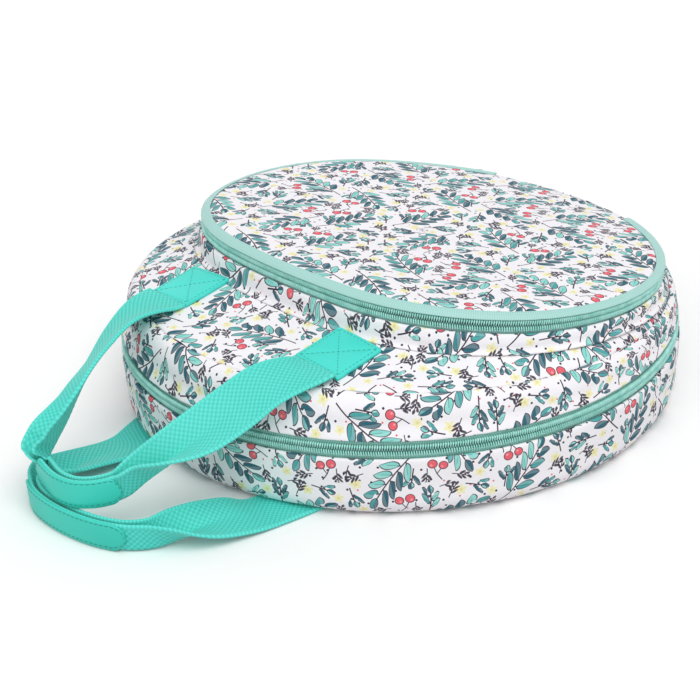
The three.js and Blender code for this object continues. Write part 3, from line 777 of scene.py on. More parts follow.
# Ribbed ribbon: satin ribs across the tape, and a thicker selvedge thread along it
def ribbonMaterial(name, dark, light, ribPitch):
    material, tree, shader = newMaterial(name, 0.46, [("Specular IOR Level", 0.45), ("Sheen Weight", 0.1)])
    x, y = clothPlace(tree)
    wear = wearOf(tree)
    height = sineOf(x / ribPitch + wear["Narrow"] * 0.3) * 0.75 + sineOf(y / 1.7) * 0.25
    # The colour follows the ribs' height: crests painted lighter and grooves darker, painted light and shade,
    # with wide patches of random tone mixed in
    painted(tree, shader, mixed(tree, height * 0.75 + wear["Wide"] * 0.25, linear(dark), linear(light)))
    bumped(tree, shader, height, 0.6, 0.0002)
    return material


def coilMaterial(name, dark, light):
    material, tree, shader = newMaterial(name, 0.34, [("Specular IOR Level", 0.5)])
    wear = wearOf(tree)
    painted(tree, shader, toned(tree, wear["Narrow"], dark, light), wear["Wide"] * 0.2 + 0.26)
    return material


def metalMaterial():
    settings = [("Metallic", 0.0), ("Coat Weight", 0.5), ("Coat Roughness", 0.12)]
    material, tree, shader = newMaterial("enamelledMetal", 0.3, settings)
    wear = wearOf(tree)
    colour = toned(tree, wear["Wide"], "#62B7A3", "#74C9B5")
    colour = mixed(tree, wear["Narrow"].above(0.68, 0.04) * 0.3, colour, linear("#4C8F80"))
    painted(tree, shader, colour, wear["Narrow"] * 0.18 + 0.2)
    bumped(tree, shader, wear["Narrow"], 0.08, 0.0002)
    return material


def webbingMaterial():
    settings = [("Specular IOR Level", 0.35), ("Sheen Weight", 0.15), ("Sheen Roughness", 0.4)]
    material, tree, shader = newMaterial("wovenWebbing", 0.62, settings)
    source = tree.nodes.new("ShaderNodeAttribute")
    source.attribute_name = "weave"
    x, y = clothPlace(tree)
    wear = wearOf(tree)
    threads = sineOf((x + y) / 0.55)
    # Raised threads, as the weave attribute holds them, are painted light and low ones dark, and the diagonal
    # thread lines darker between them: painted light and shade
    colour = mixed(tree, Wire(tree, source.outputs["Fac"]), linear("#2ABCAD"), linear("#66EDE0"))
    colour = mixed(tree, threads * 0.16, colour, linear("#1FB3A4"))
    painted(tree, shader, mixed(tree, wear["Wide"].above(0.6, 0.2) * 0.12, colour, linear("#8FF3E8")))
    bumped(tree, shader, threads * 0.4 + wear["Narrow"] * 0.5, 0.35, 0.00015)
    return material


def leatherMaterial(name, dark, light):
    material, tree, shader = newMaterial(name, 0.5, [("Specular IOR Level", 0.4), ("Coat Weight", 0.05)])
    grain = tree.nodes.new("ShaderNodeTexVoronoi")
    grain.feature = "DISTANCE_TO_EDGE"
    grain.inputs["Scale"].default_value = 1300.0
    plug(tree, grain.inputs["Vector"], objectPlace(tree))
    crease = 1 - Wire(tree, grain.outputs["Distance"]).above(0.09, 0.09)
    wear = wearOf(tree)
    # The grain's creases are painted darker: painted shade in the creases
    colour = mixed(tree, crease * 0.12, toned(tree, wear["Wide"], dark, light), linear(dark))
    painted(tree, shader, colour, wear["Narrow"] * 0.16 + 0.4)
    bumped(tree, shader, (1 - crease) * 0.6 + wear["Narrow"] * 0.5, 0.22, 0.00015)
    return material


def threadMaterial(name, dark, light):
    material, tree, shader = newMaterial(name, 0.6, [("Sheen Weight", 0.1)])
    painted(tree, shader, toned(tree, wearOf(tree)["Narrow"], dark, light))
    return material


# Looks: each material with the name of its slot
cotton = (printMaterial(), "print")
lining = (liningMaterial(), "lining")
# The main zip's tape is the pale tape made darker and greyer: painted shade, for the main zip on the upright
# wall, which gets less light
shadedTapeSatin = (ribbonMaterial("zipTape", "#70B9AC", "#B0E5DB", 1.25), "zip_tape")
paleSatin = (ribbonMaterial("paleZipTape", "#93CAC3", "#B6E0DA", 1.25), "zip_tape")
bindingRibbon = (ribbonMaterial("bindingRibbon", "#69AE9E", "#8CCDBC", 1.6), "binding")
coilNylon = (coilMaterial("coilNylon", "#90D6CB", "#BDF0E8"), "zip_coil")
# The coil's core is much darker than the ribs: painted shade in the gaps between the ribs
coilBed = (coilMaterial("coilBed", "#2F7A69", "#3F8F7C"), "zip_coil")
metal = (metalMaterial(), "zip_metal")
webbing = (webbingMaterial(), "webbing")
gripLeather = (leatherMaterial("gripLeather", "#2CC3B1", "#3FD6C4"), "leather")
patchLeather = (leatherMaterial("patchLeather", "#37D4C6", "#4CE3D6"), "leather")
darkThread = (threadMaterial("darkThread", "#127F75", "#1F9A8D"), "leather")
print("materials made")


# Softness of the cloth: offsets of a surface from its plain shape

soft = {
    "wallFold": 0.9,  # wide folds in the walls
    "wallFoldSize": 34,
    "fine": 0.3,
    "fineSize": 11,
    "pucker": 0.28,  # where the cloth is sewn to the zip
    "puckerPitch": 5.2,
    "bulge": -0.1,
    "lean": 0.34,  # of the shoulder's radius
    "tuck": 1.0,  # towards the bottom edge
    "face": 0.8,
}


def pucker(along, size):
    return soft["pucker"] * (waver(along / soft["puckerPitch"], size, 0.5) + 0.25)


def wallSoftness(a, z, low, high):
    x, y = polar(bag["radius"], a)
    free = math.sin(math.pi * clamped((z - low) / (high - low)))
    wide, fine = ripple(x, y, z * 0.35, soft["wallFoldSize"]), ripple(x, y, z * 0.8, soft["fineSize"])
    return free * (soft["bulge"] + (soft["wallFold"] * wide + soft["fine"] * fine))


def shoulderLean(place, s, z):  # the upper wall leans in, most where the shoulder is roundest
    height, r = shoulderAt(place["a"])
    lean = soft["lean"] * r * smooth(0.33, 0.7, place["fromHinge"])
    return lean * smooth(bag["zipHeight"], height - r, z) * min(max(s + r, 0) / r, 1)


def nearZip(z, edge, reach=9):
    return smooth(reach, 0, abs(z - edge)) if abs(z - edge) < reach else 0


def hingedShare(place, half):
    return 1 - smooth(half, half + bag["zipEndGap"], place["fromHinge"])


# The handles' route, as the solids have it: how much of the way to its patch a point is (reach),
# a shift across, how far it lies beyond the wall (out), the fold in degrees, and the lean

band = {
    "width": 32,
    "thickness": 1.8,
    "spacing": 122,
    "bend": 2.0,  # half the width of cloth that the fold takes up
    "rest": 1.1,
    "tableGap": 0.2,
    "gripGap": 0.85,  # more room under the folded part, for the leather of its grip
    "patchGap": 0.4,
    "row": 0.7,
    "samples": 1500,
    "liftReach": 9,  # rows on each side over which a lift is spread
    "columns": 40,
    "bump": 0.3,
    "bumpPitch": 1.6,
}
patch = {
    "size": 32,
    "thickness": 2.2,
    "inset": 58,
    "lift": 0.5,
    "cells": 46,
    "corner": 1.3,
    "stitchInset": 1.7,
    "stitchPitch": 2.6,
    "stitch": (1.9, 0.42, 0.34),
}
patchLine = -(bag["radius"] - patch["inset"])

frontRoute = [
    (1, 0, -41.4, 0, 0, -0.1), (1, 0, -37, 0, 0, -0.13), (1, -2.5, -26, 0, 0.1, -0.18),
    (0.95, -4, -12, 0, 0.2, -0.36), (0.79, 0.4, 4, 4, 0.28, -0.45), (0.59, 6, 20, 20, 0.28, -0.42),
    (0.38, 10, 34, 50, 0.16, -0.25), (0.19, 12.4, 45, 76, 0.05, -0.1), (0.06, 15, 54, 85, 0, 0),
    (0.012, 11, 65, 86, 0, 0), (0, 3, 73, 87, 0, 0), (0, -8, 75.5, 87, 0, 0),
    (-0.006, -19.6, 73.6, 86, 0, 0), (-0.034, -28.9, 70, 84, 0, 0), (-0.14, -27, 65, 74, 0, 0),
    (-0.29, -17.3, 59, 58, -0.15, -0.15), (-0.45, -7.5, 51, 38, -0.45, -0.4),
    (-0.6, -1.3, 41.5, 20, -0.7, -0.65), (-0.73, 0.8, 29.5, 8, -0.8, -0.7),
    (-0.837, 0.6, 14, 0, -0.8, -0.7), (-0.95, 0.8, -6, 0, -0.5, -0.5), (-1, 0.6, -25, 0, -0.14, -0.2),
    (-1, 0, -37, 0, 0, -0.13), (-1, 0, -41.4, 0, 0, -0.1),
]
# The back handle's points have a rise in place of the shift, and lean only one way
backRoute = [
    (1, -41.5, 0, 0, 0), (1, -36, 0, 0, 0), (0.98, -20, 0, 0, 0), (0.94, -3, 0.2, 0, 0),
    (0.9, 13, 3.4, 6, 0.18), (0.84, 29, 4.4, 18, 0.2), (0.76, 43, 2.2, 48, 0.1),
    (0.68, 56, 0.4, 78, 0), (0.54, 66, 0, 86, 0), (0.32, 73, 0, 87, 0), (0.04, 77, 0, 87, 0),
    (-0.26, 78, 0, 87, 0), (-0.52, 75.5, 0, 87, 0), (-0.7, 69, 0.2, 84, 0), (-0.78, 59, 0.8, 62, 0),
    (-0.8, 45, 2.4, 28, -0.06), (-0.8, 30, 3.4, 10, -0.12), (-0.79, 13, 2.6, 2, -0.12),
    (-0.81, -2, 0.1, 0, 0), (-0.92, -20, 0, 0, 0), (-1, -36, 0, 0, 0), (-1, -41.5, 0, 0, 0),
]


def frontPoints():
    half = band["spacing"] / 2
    low = band["rest"] + band["width"] / 2 + band["thickness"] / 2 + band["tableGap"]
    outer = patchLine - patch["size"] / 2
    high = faceHeight(half - band["width"] / 2, outer) + band["thickness"] / 2 + band["patchGap"]
    for reach, dx, out, fold, leanX, leanY in frontRoute:
        z = lerp(low, high, abs(reach))
        yield (reach * half + dx, -(bag["radius"] + out), z, fold, leanX, leanY)


def backPoints():
    half = band["spacing"] / 2
    for reach, out, rise, fold, leanX in backRoute:
        yield (reach * half, -(bag["radius"] + out), band["rest"] + rise, fold, leanX, 0)


# A smooth route through the points: a centripetal spline, for places, folds and leans alike
def splineAt(points, t):
    last = len(points) - 1
    i = min(int(t * last), last - 1)
    share = t * last - i

    def pointAt(k):
        if k < 0:
            return [2 * a - b for a, b in zip(points[0], points[1])]
        if k > last:
            return [2 * a - b for a, b in zip(points[last], points[last - 1])]
        return points[k]

    four = [pointAt(k) for k in range(i - 1, i + 3)]
    gaps = [max(math.dist(p[:3], q[:3]), 1e-4) ** 0.5 for p, q in zip(four, four[1:])]
    value = []
    for p0, p1, p2, p3 in zip(*four):
        m1 = (p1 - p0) / gaps[0] - (p2 - p0) / (gaps[0] + gaps[1]) + (p2 - p1) / gaps[1]
        m2 = (p2 - p1) / gaps[1] - (p3 - p1) / (gaps[1] + gaps[2]) + (p3 - p2) / gaps[2]
        m1, m2 = m1 * gaps[1], m2 * gaps[1]
        cubic = (2 * p1 - 2 * p2 + m1 + m2) * share**3
        value.append(cubic + (3 * p2 - 3 * p1 - 2 * m1 - m2) * share**2 + m1 * share + p1)
    return value


# The band's section: flat, or folded up along its middle. w is across it and n out of it
def bandPoint(row, w, n):
    size, side = abs(w), math.copysign(1, w)
    fold = max(row["fold"], 0.001)
    radius = band["bend"] / fold
    turned = fold * min(size / band["bend"], 1)
    beyond = max(size - band["bend"], 0)
    x = radius * math.sin(turned) + beyond * math.cos(fold) - n * math.sin(turned)
    y = radius * (1 - math.cos(turned)) + beyond * math.sin(fold) + n * math.cos(turned)
    return row["middle"] + row["across"] * (side * x) + row["up"] * y


def bandRows(points):
    points, fine = list(points), band["samples"]
    samples = [splineAt(points, i / fine) for i in range(fine + 1)]
    lengths = cumulated([Vector(s[:3]) for s in samples], closed=False)
    count = round(lengths[-1] / band["row"])
    rows, k = [], 0
    for i in range(count + 1):
        target = lengths[-1] * i / count
        while k < fine - 1 and lengths[k + 1] < target:
            k += 1
        t = (k + (target - lengths[k]) / (lengths[k + 1] - lengths[k])) / fine
        x, y, z, fold, leanX, leanY = splineAt(points, t)
        ahead = Vector(splineAt(points, min(t + 0.0005, 1))[:3])
        along = (ahead - Vector(splineAt(points, max(t - 0.0005, 0))[:3])).normalized()
        up = Vector((leanX, leanY, 1))
        up = (up - along * up.dot(along)).normalized()
        rows.append({
            "t": t, "along": target, "middle": Vector((x, y, z)), "up": up, "across": along.cross(up),
            "fold": math.radians(max(fold, 0)),
        })
    liftRows(rows)
    return rows


def liftRows(rows):  # no part of the band sinks into the table
    half, t = band["width"] / 2, band["thickness"] / 2
    lifts = []
    for row in rows:
        lowest = min(bandPoint(row, w, n).z for w in (-half, -1, 1, half) for n in (-t, t))
        gap = band["tableGap"] + band["gripGap"] * smooth(1.2, 1.5, row["fold"])
        lifts.append(max(0, gap - lowest))
    reach = band["liftReach"]
    widest = [max(lifts[max(i - reach, 0) : i + reach + 1]) for i in range(len(lifts))]
    for i, row in enumerate(rows):
        near = widest[max(i - reach, 0) : i + reach + 1]
        row["middle"].z += sum(near) / len(near)


frontBand = bandRows(frontPoints())
backBand = bandRows(backPoints())
print("handle routes laid,", len(frontBand), "and", len(backBand), "rows")


strapBed = {"margin": 1.2, "ease": 4, "rowStep": 12, "rowReach": 10, "from": -170}


def overStraps(x, y):  # how far the bag's underside is held up by what lies under it
    half = patch["size"] / 2 + strapBed["margin"]
    gaps = [max(abs(x - side * band["spacing"] / 2), abs(y - patchLine)) - half for side in (-1, 1)]
    if y < patchLine:
        for row in backBand[:: strapBed["rowStep"]]:
            spot = row["middle"]
            if spot.y > strapBed["from"] and abs(spot.y - y) < strapBed["rowReach"]:
                gaps.append((Vector((x, y)) - spot.xy).length - half)
    return 1 - smooth(0, strapBed["ease"], max(min(gaps), 0))


# Walls of the body


def backWallOutline(place):
    cloth, r, seam = bag["cloth"], bag["backRound"], bag["seam"]
    hinged = hingedShare(place, bag["hingeHalf"])
    top = lerp(bag["zipHeight"] - tape["hem"], bag["zipHeight"] - seam, hinged)
    hem = cloth / 2
    section = [
        (-r - 0.05, 1.5), (-r + 0.02, 0.75), (-r + 0.35, 0.2),
        *arc(-r, r, r, -86, 0, 12),
        *between((0, r), (0, top - hem), 10),
        *arc(-hem, top - hem, hem, 0, 180, 6),
        *between((-cloth, top - hem), (-cloth, r), 5),
        *arc(-r, r, r - cloth, 0, -86, 6),
    ]
    points = []
    for s, z in section:
        a = place["a"]
        push = wallSoftness(a, z, 3, top - 1) + nearZip(z, top) * pucker(place["along"], 1.3) * (1 - hinged)
        push -= soft["tuck"] * smooth(30, 10, z) * max(s + r, 0) / r
        p = at(place, s + push, z)
        raised = 2.5 * overStraps(p.x, p.y) if p.y < -100 and z < 9 else 0
        if raised:
            p.z = max(p.z, raised + 0.25 * z)
        points.append(p)
    return points


def frontWallOutline(place):
    cloth = bag["cloth"]
    height, r = shoulderAt(place["a"])
    hinged = hingedShare(place, bag["hingeHalf"])
    low = lerp(bag["zipHeight"] + tape["hem"], bag["zipHeight"] + bag["seam"], hinged)
    hem = cloth / 2
    inner = max(r - cloth, 1.2)
    section = [
        *arc(-hem, low + hem, hem, -180, 0, 6),
        *between((0, low + hem), (0, height - r), 7),
        *arc(-r, height - r, r, 0, 84, 12),
        (-r + 0.3, height - 0.3), (-r + 0.1, height - 0.9), (-r + 0.1, height - cloth),
        *arc(-cloth - inner, height - cloth - inner, inner, 84, 0, 5),
        *between((-cloth, height - cloth - inner), (-cloth, low + hem), 4),
    ]
    points = []
    for s, z in section:
        push = wallSoftness(place["a"], z, low + 1, height - 1.5) * 0.8
        push += nearZip(z, low) * pucker(place["along"] + 400, 4.1) * (1 - hinged)
        push -= shoulderLean(place, s, z)
        points.append(at(place, s + push, z))
    return points


loft(
    "backWall", ringStations(wall, bag["steps"]), backWallOutline, cotton, "back_shell", "back_gusset",
    (0, 11),
)
loft(
    "frontWall", ringStations(wall, bag["steps"]), frontWallOutline, cotton, "front_shell", "front_gusset",
    (210, 300),
)


# Faces of the body: discs in rings from the axis outwards, with a top and an underside

pinhole = 0.02  # radius of the innermost ring


def discOutline(place, tops, unders):
    return [at(place, r - place["r"], z) for r, z in tops + unders[::-1]]


def frontFaceOutline(place):
    a = place["a"]
    reach = seamReach(a) - bag["seam"] / 2
    start = min(footReach(a), reach - 1)
    radii = [pinhole, *[start * k / 6 for k in range(1, 6)], start - 1.5]
    radii += [lerp(start, reach - 1.2, k / 14) for k in range(15)]
    tops = []
    for r in radii:
        x, y = polar(r, a)
        share = clamped((r - start) / max(reach - start, 1))
        wave = soft["face"] * ripple(x, y, 70, 30) + soft["fine"] * ripple(x, y, 70, 9)
        tops.append((r, faceHeight(x, y) + wave * math.sin(math.pi * share)))
    edge = faceHeight(*polar(reach, a))
    tops += [(reach - 0.5, edge - 0.06), (reach - 0.12, edge - 0.45), (reach, edge - 1.2)]
    radii = (pinhole, start * 0.6, start, lerp(start, reach, 0.5), reach - 0.1)
    return discOutline(place, tops, [(r, faceHeight(*polar(r, a)) - bag["cloth"]) for r in radii])


def backFaceOutline(place):
    top = bag["backCloth"]
    edge = bag["radius"] - bag["backRound"] - bag["seam"] / 2
    tops = [(r, top) for r in (pinhole, 40, 80, 115, edge - 0.6)] + [(edge, top - 0.5)]
    rounded = {edge - 0.6: 0.3, edge - 0.1: 0.8, edge: 1.6}
    unders = []
    for r in (pinhole, *range(12, 141, 4), edge - 4, edge - 1.6, *rounded):
        x, y = polar(r, place["a"])
        z = 0.12 + max(0, 0.3 * ripple(x, y, 3, 26)) * smooth(0, 12, edge - r)
        if y < -70:
            z = max(z, 2.4 * overStraps(x, y))
        unders.append((r, min(max(z, rounded.get(r, 0)), top - 0.7)))
    return discOutline(place, tops, unders)


faceStations = ringStations(wall, bag["faceSteps"])
loft(
    "frontFace", faceStations, frontFaceOutline, cotton, "front_shell", "front_panel", (505, 140), 0.7,
)
loft("backFace", faceStations, backFaceOutline, cotton, "back_shell", "back_panel", (140, 480), 0.3)
print("body walls and faces made")


# Linings and the ribbon that binds the seams inside

insideFace = tape["face"] - tape["thickness"] - 0.3
sliderReach = 9
# Shares of the way to the middle
innerShares = (0.1, 0.2, 0.34, 0.48, 0.61, 0.72, 0.81, 0.88, 0.94, 0.98)
innermost = 0.9999


def backLiningOutline(place):
    r, cloth = bag["backRound"], bag["lining"]
    low = bag["backCloth"] + bag["seam"]
    outer = r + insideFace
    top = bag["zipHeight"] - sliderReach
    centre = low + outer
    run = arc(-r, centre, outer, -90, 0, 7) + between((insideFace, centre), (insideFace, top), 5)
    run += arc(insideFace - cloth / 2, top, cloth / 2, 0, 180, 4)
    run += between((insideFace - cloth, top), (insideFace - cloth, centre), 5)
    run += arc(-r, centre, outer - cloth, 0, -90, 7)
    section = [(-r, low, share) for share in (0.999, 0.7, 0.4, 0.15)] + [(s, z, 0) for s, z in run]
    section += [(-r, low + cloth, share) for share in (*innerShares, 0.999)]
    points = []
    for s, z, share in section:
        p = at(place, s, z, share)
        inner = z > low + cloth * 0.9
        wave = 0.5 + 0.5 * ripple(p.x, p.y, p.z, 24)
        if inner and share > 0.05:
            p.z += 0.8 * wave * smooth(0.05, 0.2, share)
        elif inner:
            drawn = 0.6 * wave * math.sin(math.pi * clamped((z - low) / 28))
            p += (at(place, s - 1, z) - p) * drawn
        points.append(p)
    return points


def frontLiningOutline(place):
    a, cloth = place["a"], bag["lining"]
    height, r = shoulderAt(a)
    drop = bag["cloth"] + 0.7
    low = bag["zipHeight"] + sliderReach
    outer = max(r + insideFace, 1.6)
    centre = insideFace - outer
    seam = bag["radius"] + centre
    top = height - drop

    def faceRun(below, count):
        radii = [lerp(pinhole, seam - 2, k / count) for k in range(count + 1)]
        return [(reach - place["r"], faceHeight(*polar(reach, a)) - below) for reach in radii]

    section = faceRun(drop, 7)
    section += arc(centre, top - outer, outer, 88, 0, 4)
    section += between((insideFace, top - outer), (insideFace, low), 4)
    section += arc(insideFace - cloth / 2, low, cloth / 2, 0, -180, 4)
    section += between((insideFace - cloth, low), (insideFace - cloth, top - outer), 4)
    section += arc(centre, top - outer, outer - cloth, 0, 88, 4)
    section += reversed(faceRun(drop + cloth, 12))
    points = []
    for s, z in section:
        p = at(place, s - shoulderLean(place, s, z), z)
        if s < centre and z < faceHeight(p.x, p.y) - drop - 0.5:
            p.z -= 0.8 * (0.5 + 0.5 * ripple(p.x, p.y, 9, 26)) * smooth(0, 12, centre - s)
        points.append(p)
    return points


def backBindingOutline(place):
    low = bag["backCloth"] + bag["seam"]
    centre = low + bag["backRound"] + insideFace
    outer = bag["backRound"] + insideFace - bag["lining"] - 0.9 + 0.15 * waver(place["along"] / 4, 0, 7)
    section = arc(-bag["backRound"], centre, outer, -65, -18, 5)
    section += arc(-bag["backRound"], centre, outer - 1, -18, -65, 5)
    return [at(place, s, z) for s, z in section]


def frontBindingOutline(place):
    height, r = shoulderAt(place["a"])
    top = height - bag["cloth"] - 0.7 - max(r + insideFace, 1.6)
    s = insideFace - bag["lining"] - 0.45 + 0.15 * waver(place["along"] / 4, 3, 1)
    corners = [(s - 1, top - 5), (s, top - 5), (s, top), (s - 1, top)]
    section = []
    for corner, following in zip(corners, corners[1:] + corners[:1]):
        section += [corner, *between(corner, following, 4)]
    return [at(place, x - shoulderLean(place, x, z), z) for x, z in section]


bindingStations = ringStations(wall, bag["bindingSteps"])
for name, places, outlineOf, look, body, node in (
    ("backLiningCup", faceStations, backLiningOutline, lining, "back_shell", "back_lining"),
    ("frontLiningCup", faceStations, frontLiningOutline, lining, "front_shell", "front_lining"),
    ("backBinding", bindingStations, backBindingOutline, bindingRibbon, "back_shell", "back_seam_binding"),
    (
        "frontBinding", bindingStations, frontBindingOutline, bindingRibbon, "front_shell",
        "front_seam_binding",
    ),
):
    loft(name, places, outlineOf, look, body, node)
print("linings made")


# Zips: tapes, and coils of single ribs along a core. side is 1 above the slit and -1 below it


def tapeOutline(place, base, side, reach, lean=0):
    face, back = tape["face"], tape["face"] - tape["thickness"]
    near, far = base + side * tape["slit"], base + side * tape[reach]
    nearBend, farBend = near + side * tape["corner"], far - side * tape["corner"]
    wave = 0.12 * waver(place["along"] / 6, side, base)
    section = [
        (face, nearBend), *between((face, nearBend), (face, farBend), 6), (face, farBend),
        (face - 0.25, far), (back + 0.25, far), (back, farBend),
        *between((back, farBend), (back, nearBend), 3), (back, nearBend),
        (back + 0.25, near), (face - 0.25, near),
    ]
    return [at(place, s + wave - lean * shoulderLean(place, s, z), z) for s, z in section]


def lidTapeOutline(place):  # it folds out over the coil, then slopes up and in to the lid's edge
    back, face, slit = tape["face"] - tape["thickness"], tape["face"], tape["slit"]
    top = lidTop(at(place, lid["rim"], 0).y) - hingeSag(place)
    foot, crest = (-0.1, 4.1), (-4.6, top - 0.05)
    slope = [(s, z + 0.35 * math.sin(math.pi * k / 6)) for k, (s, z) in enumerate(between(foot, crest, 6), 1)]
    section = [
        (face, slit), (face, 1.9), (face + 0.2, 2.7), (-1.5, 3.2), (-0.5, 3.35), (-0.05, 3.7), foot,
        *slope, crest, (-5.0, top), (-5.3, top - 0.15), (-5.3, top - 0.5), (-4.5, top - 0.8),
        (-3.3, lerp(foot[1], top, 0.55) - 0.55), (-2.0, lerp(foot[1], top, 0.3) - 0.4),
        (-1.0, 3.85), (-1.8, 3.65), (-2.9, 3.3), (back, 2.8), (back, 1.7), (back, slit),
    ]
    wave = 0.2 * waver(place["along"] / 7, 5, 2)
    lift = 0.12 * waver(place["along"] / 5, 8, 2)
    return [at(place, s + wave * (s > -3), z + lift * (z > 4.5)) for s, z in section]


# Copies of a small shape spun round a drum of the line's own length, then laid along the line
def alongLine(bm, line, fromHinge, pitch, toPlace):
    length = lineLength(line)
    start = fromHinge * line[0][2]
    count = int((length - 2 * start) / pitch)
    drum = length / fullTurn
    bmesh.ops.translate(bm, verts=bm.verts, vec=(drum, 0, 0))
    bmesh.ops.spin(
        bm, geom=bm.verts[:] + bm.edges[:] + bm.faces[:], cent=(0, 0, 0), axis=(0, 0, 1),
        angle=count * pitch / drum, steps=count, use_duplicate=True,
    )
    for v in bm.verts:
        along = (math.atan2(v.co.y, v.co.x) % fullTurn) * drum + start
        v.co = toPlace(stationAt(line, along % length), math.hypot(v.co.x, v.co.y) - drum, v.co.z)


def ribShape(base, side):
    width, depth, tall = coil["width"], coil["depth"], coil["height"] + coil["reach"]
    bm = bmesh.new()
    bmesh.ops.create_cube(bm, size=1)
    bmesh.ops.scale(bm, vec=(depth, width, tall), verts=bm.verts)
    bevelled(bm, bm.edges[:], coil["bevel"], 1)
    for v in bm.verts:
        share = v.co.z / tall + 0.5
        v.co.y = v.co.y * (0.62 if (share < 0.35) == (side > 0) else 1) + side * coil["slant"] * (share - 0.5)
        middle = tape["face"] + bag["seam"] + depth / 2
        v.co.x += middle - 0.35 * (2 * share - 1) ** 2
        v.co.z += base + side * (tape["slit"] - coil["reach"] + tall / 2)
    bmesh.ops.translate(bm, verts=bm.verts, vec=(0, coil["pitch"] / 4 * (1 + side), 0))
    return bm


def coreOutline(place, base, side):
    inner = tape["face"] + 0.1
    near, far = base + side * (tape["slit"] + 0.3), base + side * (tape["slit"] + coil["height"] - 0.4)
    corners = [(inner, near), (inner + 1.1, near + side * 0.3), (inner + 1.1, far - side * 0.3), (inner, far)]
    return [at(place, s, z) for s, z in corners]


def makeCoil(name, line, fromHinge, base, side, body, node, toPart):
    bm = ribShape(base, side)
    alongLine(bm, line, fromHinge, coil["pitch"], lambda place, s, z: toPart(at(place, s, z)))
    finished(name, bm, coilNylon, body, [node], recalc=False)
    places = stripStations(line, fromHinge, coil["coreSteps"])
    loft(
        name + "Core", places, lambda place: coreOutline(place, base, side), coilBed, body, None,
        ring=False, toPart=toPart,
    )


# Each zip's line, its end's angle from the hinge, its height, its tapes' stations and its frame
base = bag["zipHeight"]
mainZip = (wall, bag["hingeHalf"] + bag["zipEndGap"], base, 640, same)
pocketZip = (rim, pocket["hingeHalf"] + bag["zipEndGap"], 0, 560, fromPocket)
zipSides = (
    ("main", "Lower", mainZip, "back_shell", shadedTapeSatin, lambda p: tapeOutline(p, base, -1, "reach")),
    ("main", "Upper", mainZip, "front_shell", shadedTapeSatin, lambda p: tapeOutline(p, base, 1, "reach", 1)),
    ("pocket", "Lower", pocketZip, "front_shell", paleSatin, lambda p: tapeOutline(p, 0, -1, "pocketReach")),
    ("pocket", "Upper", pocketZip, "pocket_lid", paleSatin, lidTapeOutline),
)
for word, level, (line, end, height, steps, toPart), body, look, outlineOf in zipSides:
    loft(
        word + level + "Tape", stripStations(line, end, steps), outlineOf, look, body,
        f"{word}_zip_{level.lower()}_tape", ring=False, toPart=toPart,
    )
for word, level, (line, end, height, steps, toPart), body, look, outlineOf in zipSides:
    makeCoil(
        word + level + "Coil", line, end, height, -1 if level == "Lower" else 1, body,
        f"{word}_zip_{level.lower()}_coil", toPart,
    )
print("zips made")


# The pocket: its wall, the lid with its dome, and their linings


def pocketWallOutline(place):
    cloth, hem = bag["cloth"], bag["cloth"] / 2
    hinged = hingedShare(place, pocket["hingeHalf"])
    top = lerp(-tape["pocketHem"], -bag["seam"], hinged)
    low = floorInPocket(at(place, 0, 0).y) - 0.2
    flare = min((top - low) / 8, 1)  # the foot eases out onto the front face
    section = [
        (3.4 * flare, low - 0.7), (2.2 * flare, low), (1.2 * flare, low + 0.7 * flare),
        (0.5 * flare, low + 1.6 * flare), (0, low + 3.2 * flare),
        *between((0, low + 3.2 * flare), (0, top - hem), 7),
        *arc(-hem, top - hem, hem, 0, 180, 6),
        *between((-cloth, top - hem), (-cloth, low), 4),
        (-cloth, low),
    ]
    points = []
    for s, z in section:
        p = at(place, s, z)
        free = math.sin(math.pi * clamped((z - low) / max(top - low, 1))) * smooth(1, 9, top - low)
        push = free * (0.7 + 0.7 * ripple(p.x, p.y, z, 22))
        push += nearZip(z, top, 5) * pucker(place["along"] + 900, 6.4) * (1 - hinged)
        points.append(at(place, s + push, z))
    return points


def lidOutline(place):
    hinged = hingedShare(place, pocket["hingeHalf"])
    sag, cloth, crown, rimEdge = hingeSag(place), bag["cloth"], lid["crown"], lid["rim"]
    top = lidTop(at(place, lid["rim"], 0).y) - sag
    under, fold = top - cloth, 0.4
    tucked = [
        (rimEdge, top + crown), (-10, top + 0.45), (-8.4, top + 0.35), (-7.2, top + 0.15), (-6.3, top - 0.1),
        (-5.6, top - 0.45), (-5.2, top - 0.8), (-5, top - 1.1), (-4.9, top - 1.4), (-4.9, top - 1.7),
        (-5, top - 2), (-5.2, under), (-5.8, under), (-7, under), (rimEdge, under),
    ]
    wrapped = [
        (rimEdge, top + crown), (-10, top + 0.45), (-8, top + 0.3), (-6, top + 0.05), (-4, top - 0.35),
        (-2.4, lerp(fold, top, 0.78)), (-1.2, lerp(fold, top, 0.6)), (-0.4, lerp(fold, top, 0.4)),
        (0, lerp(fold, top, 0.25)), (-0.1, fold + 0.2), (-0.7, fold), (-1.7, fold),
        (-2.4, lerp(fold, under, 0.6)), (-3.6, under), (rimEdge, under),
    ]
    edge = [tuple(lerp(a, b, hinged) for a, b in zip(p, q)) for p, q in zip(tucked, wrapped)]
    shares = [innermost, *[k / 24 for k in range(23, 0, -1)]]
    section = [(rimEdge, crown, share) for share in shares] + [(s, z, 0) for s, z in edge]
    section += [(rimEdge, -cloth, share) for share in (0.3, 0.6, innermost)]
    points = []
    for s, z, share in section:
        p = at(place, s, z, share, pocket["lidMiddle"])
        if share:  # z is measured from the rim's plane here
            p.z += lidTop(p.y) - sag * (1 - share) ** 3
        if p.z > under + 2:
            wave = 0.6 * ripple(p.x, p.y, 3, 42) + 0.22 * ripple(p.x, p.y, 3, 13)
            p.z += lid["dome"] * math.sin(0.5 * math.pi * min(share * 1.6, 1)) + wave * smooth(0, 0.12, share)
        points.append(p)
    return points


